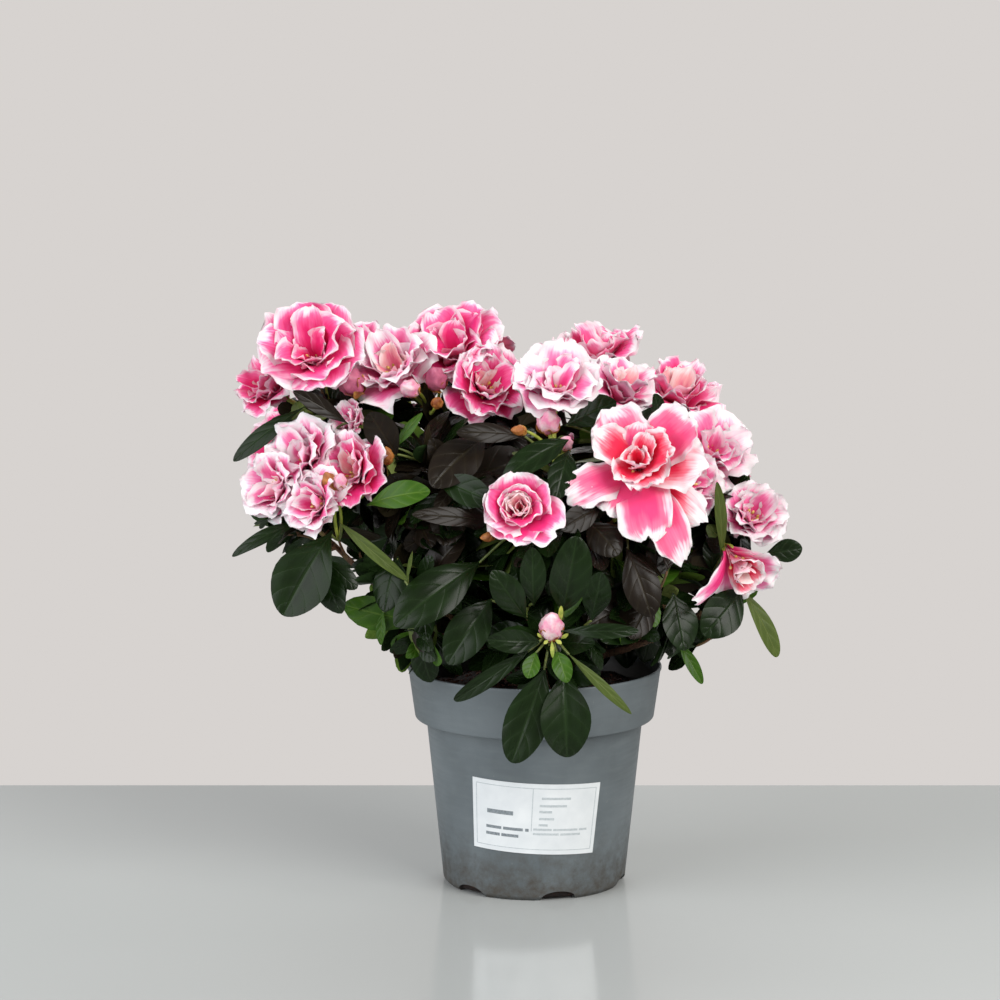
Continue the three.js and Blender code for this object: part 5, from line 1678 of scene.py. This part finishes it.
CAMERA_PLACE = (-0.0163, -1.697, 0.448)
CAMERA_PITCH = math.radians(8.9)
FOCAL_PIXELS = 3661
PHOTO_PIXELS = 1000
SENSOR = 36.0


def make_camera():
    """The photograph's view: a long lens a little above the crown, looking slightly down."""
    data = bpy.data.cameras.new("camera")
    data.sensor_width = SENSOR
    data.lens = SENSOR * FOCAL_PIXELS / PHOTO_PIXELS
    camera = linked("camera", data)
    camera.location = CAMERA_PLACE
    camera.rotation_euler = (math.pi / 2 - CAMERA_PITCH, 0, 0)
    bpy.context.scene.camera = camera


def make_lamp(name, place, size, power, tint):
    """A square soft lamp that looks at the plant's middle."""
    data = bpy.data.lights.new(name, "AREA")
    data.size = size
    data.energy = power
    data.color = tint
    lamp = linked(name, data)
    lamp.location = place
    way = unit(np.array(LIT_MIDDLE) - np.array(place))
    lamp.rotation_euler = (math.acos(-way[2]), 0, math.atan2(-way[0], way[1]))


FLOOR_SIDE = 0.48
FLOOR_FRONT = -0.6
FLOOR_BACK = 0.19
SURROUND_SEEN = (0.68, 0.65, 0.63, 1)
SURROUND_CAST = (0.68, 0.66, 0.65, 1)
SURROUND_STRENGTH = 0.52
LIT_MIDDLE = (0, 0, 0.16)

# Lamps: place, side, power and tint
LAMPS = {
    "window": ((1.1, -1.3, 1.25), 1.3, 39, (1.0, 0.98, 0.95)),
    "fill": ((-1.3, -0.9, 0.7), 1.6, 27, (0.95, 0.97, 1.0)),
    "back": ((0.2, 1.4, 1.3), 1.2, 17, (1.0, 1.0, 1.0)),
}


def make_studio():
    """A pale glossy table top for a floor, a pale surround, a large soft lamp at the right, weaker fills."""
    corners = [(-FLOOR_SIDE, FLOOR_FRONT, 0), (FLOOR_SIDE, FLOOR_FRONT, 0),
               (FLOOR_SIDE, FLOOR_BACK, 0), (-FLOOR_SIDE, FLOOR_BACK, 0)]
    floor = new_object("floor", corners, [(0, 1, 2, 3)])
    floor.data.materials.append(FINISH["floor"])
    world = bpy.data.worlds.new("surround")
    world.use_nodes = True
    tree = world.node_tree
    seen = node(tree, "ShaderNodeBackground", {"Color": SURROUND_SEEN, "Strength": 1.0})
    cast = tree.nodes["Background"]
    cast.inputs["Color"].default_value = SURROUND_CAST
    cast.inputs["Strength"].default_value = SURROUND_STRENGTH
    ray = Pattern(node(tree, "ShaderNodeLightPath"), "Is Camera Ray")
    either = node(tree, "ShaderNodeMixShader", {0: ray, 1: Pattern(cast), 2: Pattern(seen)})
    tree.links.new(either.outputs[0], tree.nodes["World Output"].inputs["Surface"])
    bpy.context.scene.world = world
    for name, settings in LAMPS.items():
        make_lamp(name, *settings)
    bpy.context.scene.view_settings.view_transform = "Standard"


def make_plant():
    """Limbs, twigs, leaves and blossom."""
    masses = [place_mass(mass) for mass in MASSES]
    heads = place_heads(masses)
    make_limbs(masses)
    flowers = [bloom for head in heads for bloom in head["blooms"]]
    twigs, leaves = [], []
    random = seeded_by("sprays")
    for index, mass in enumerate(masses):
        grown, sprays = grow_mass(index, mass, heads)
        rows = [row for number, spray in enumerate(sprays) for row in whorl(spray, number, random)]
        kept = kept_leaves(rows, flowers)
        twigs += cut_back(grown, kept)
        leaves += kept
    spots = np.concatenate([line for line, *_ in twigs])
    singles, carriers = single_rows(spots)
    small_buds, stalks = extra_buds(spots)
    make_twigs(twigs, "twigs", "twig")
    make_twigs(carriers, "petioles", "petiole")
    make_leaves(leaves, singles)
    buds = [bloom for bloom in flowers if bloom["open"] < BUD_OPEN] + small_buds
    blooms = [bloom for bloom in flowers if bloom["open"] >= BUD_OPEN]
    make_petals(heads)
    make_stamens(blooms)
    make_twigs(stalks + head_stalks(heads), "flower_stalks", "stalk")
    make_buds(buds)
    make_scales(buds, blooms)


make_camera()
make_studio()
make_pot()
make_label()
make_soil()
make_plant()
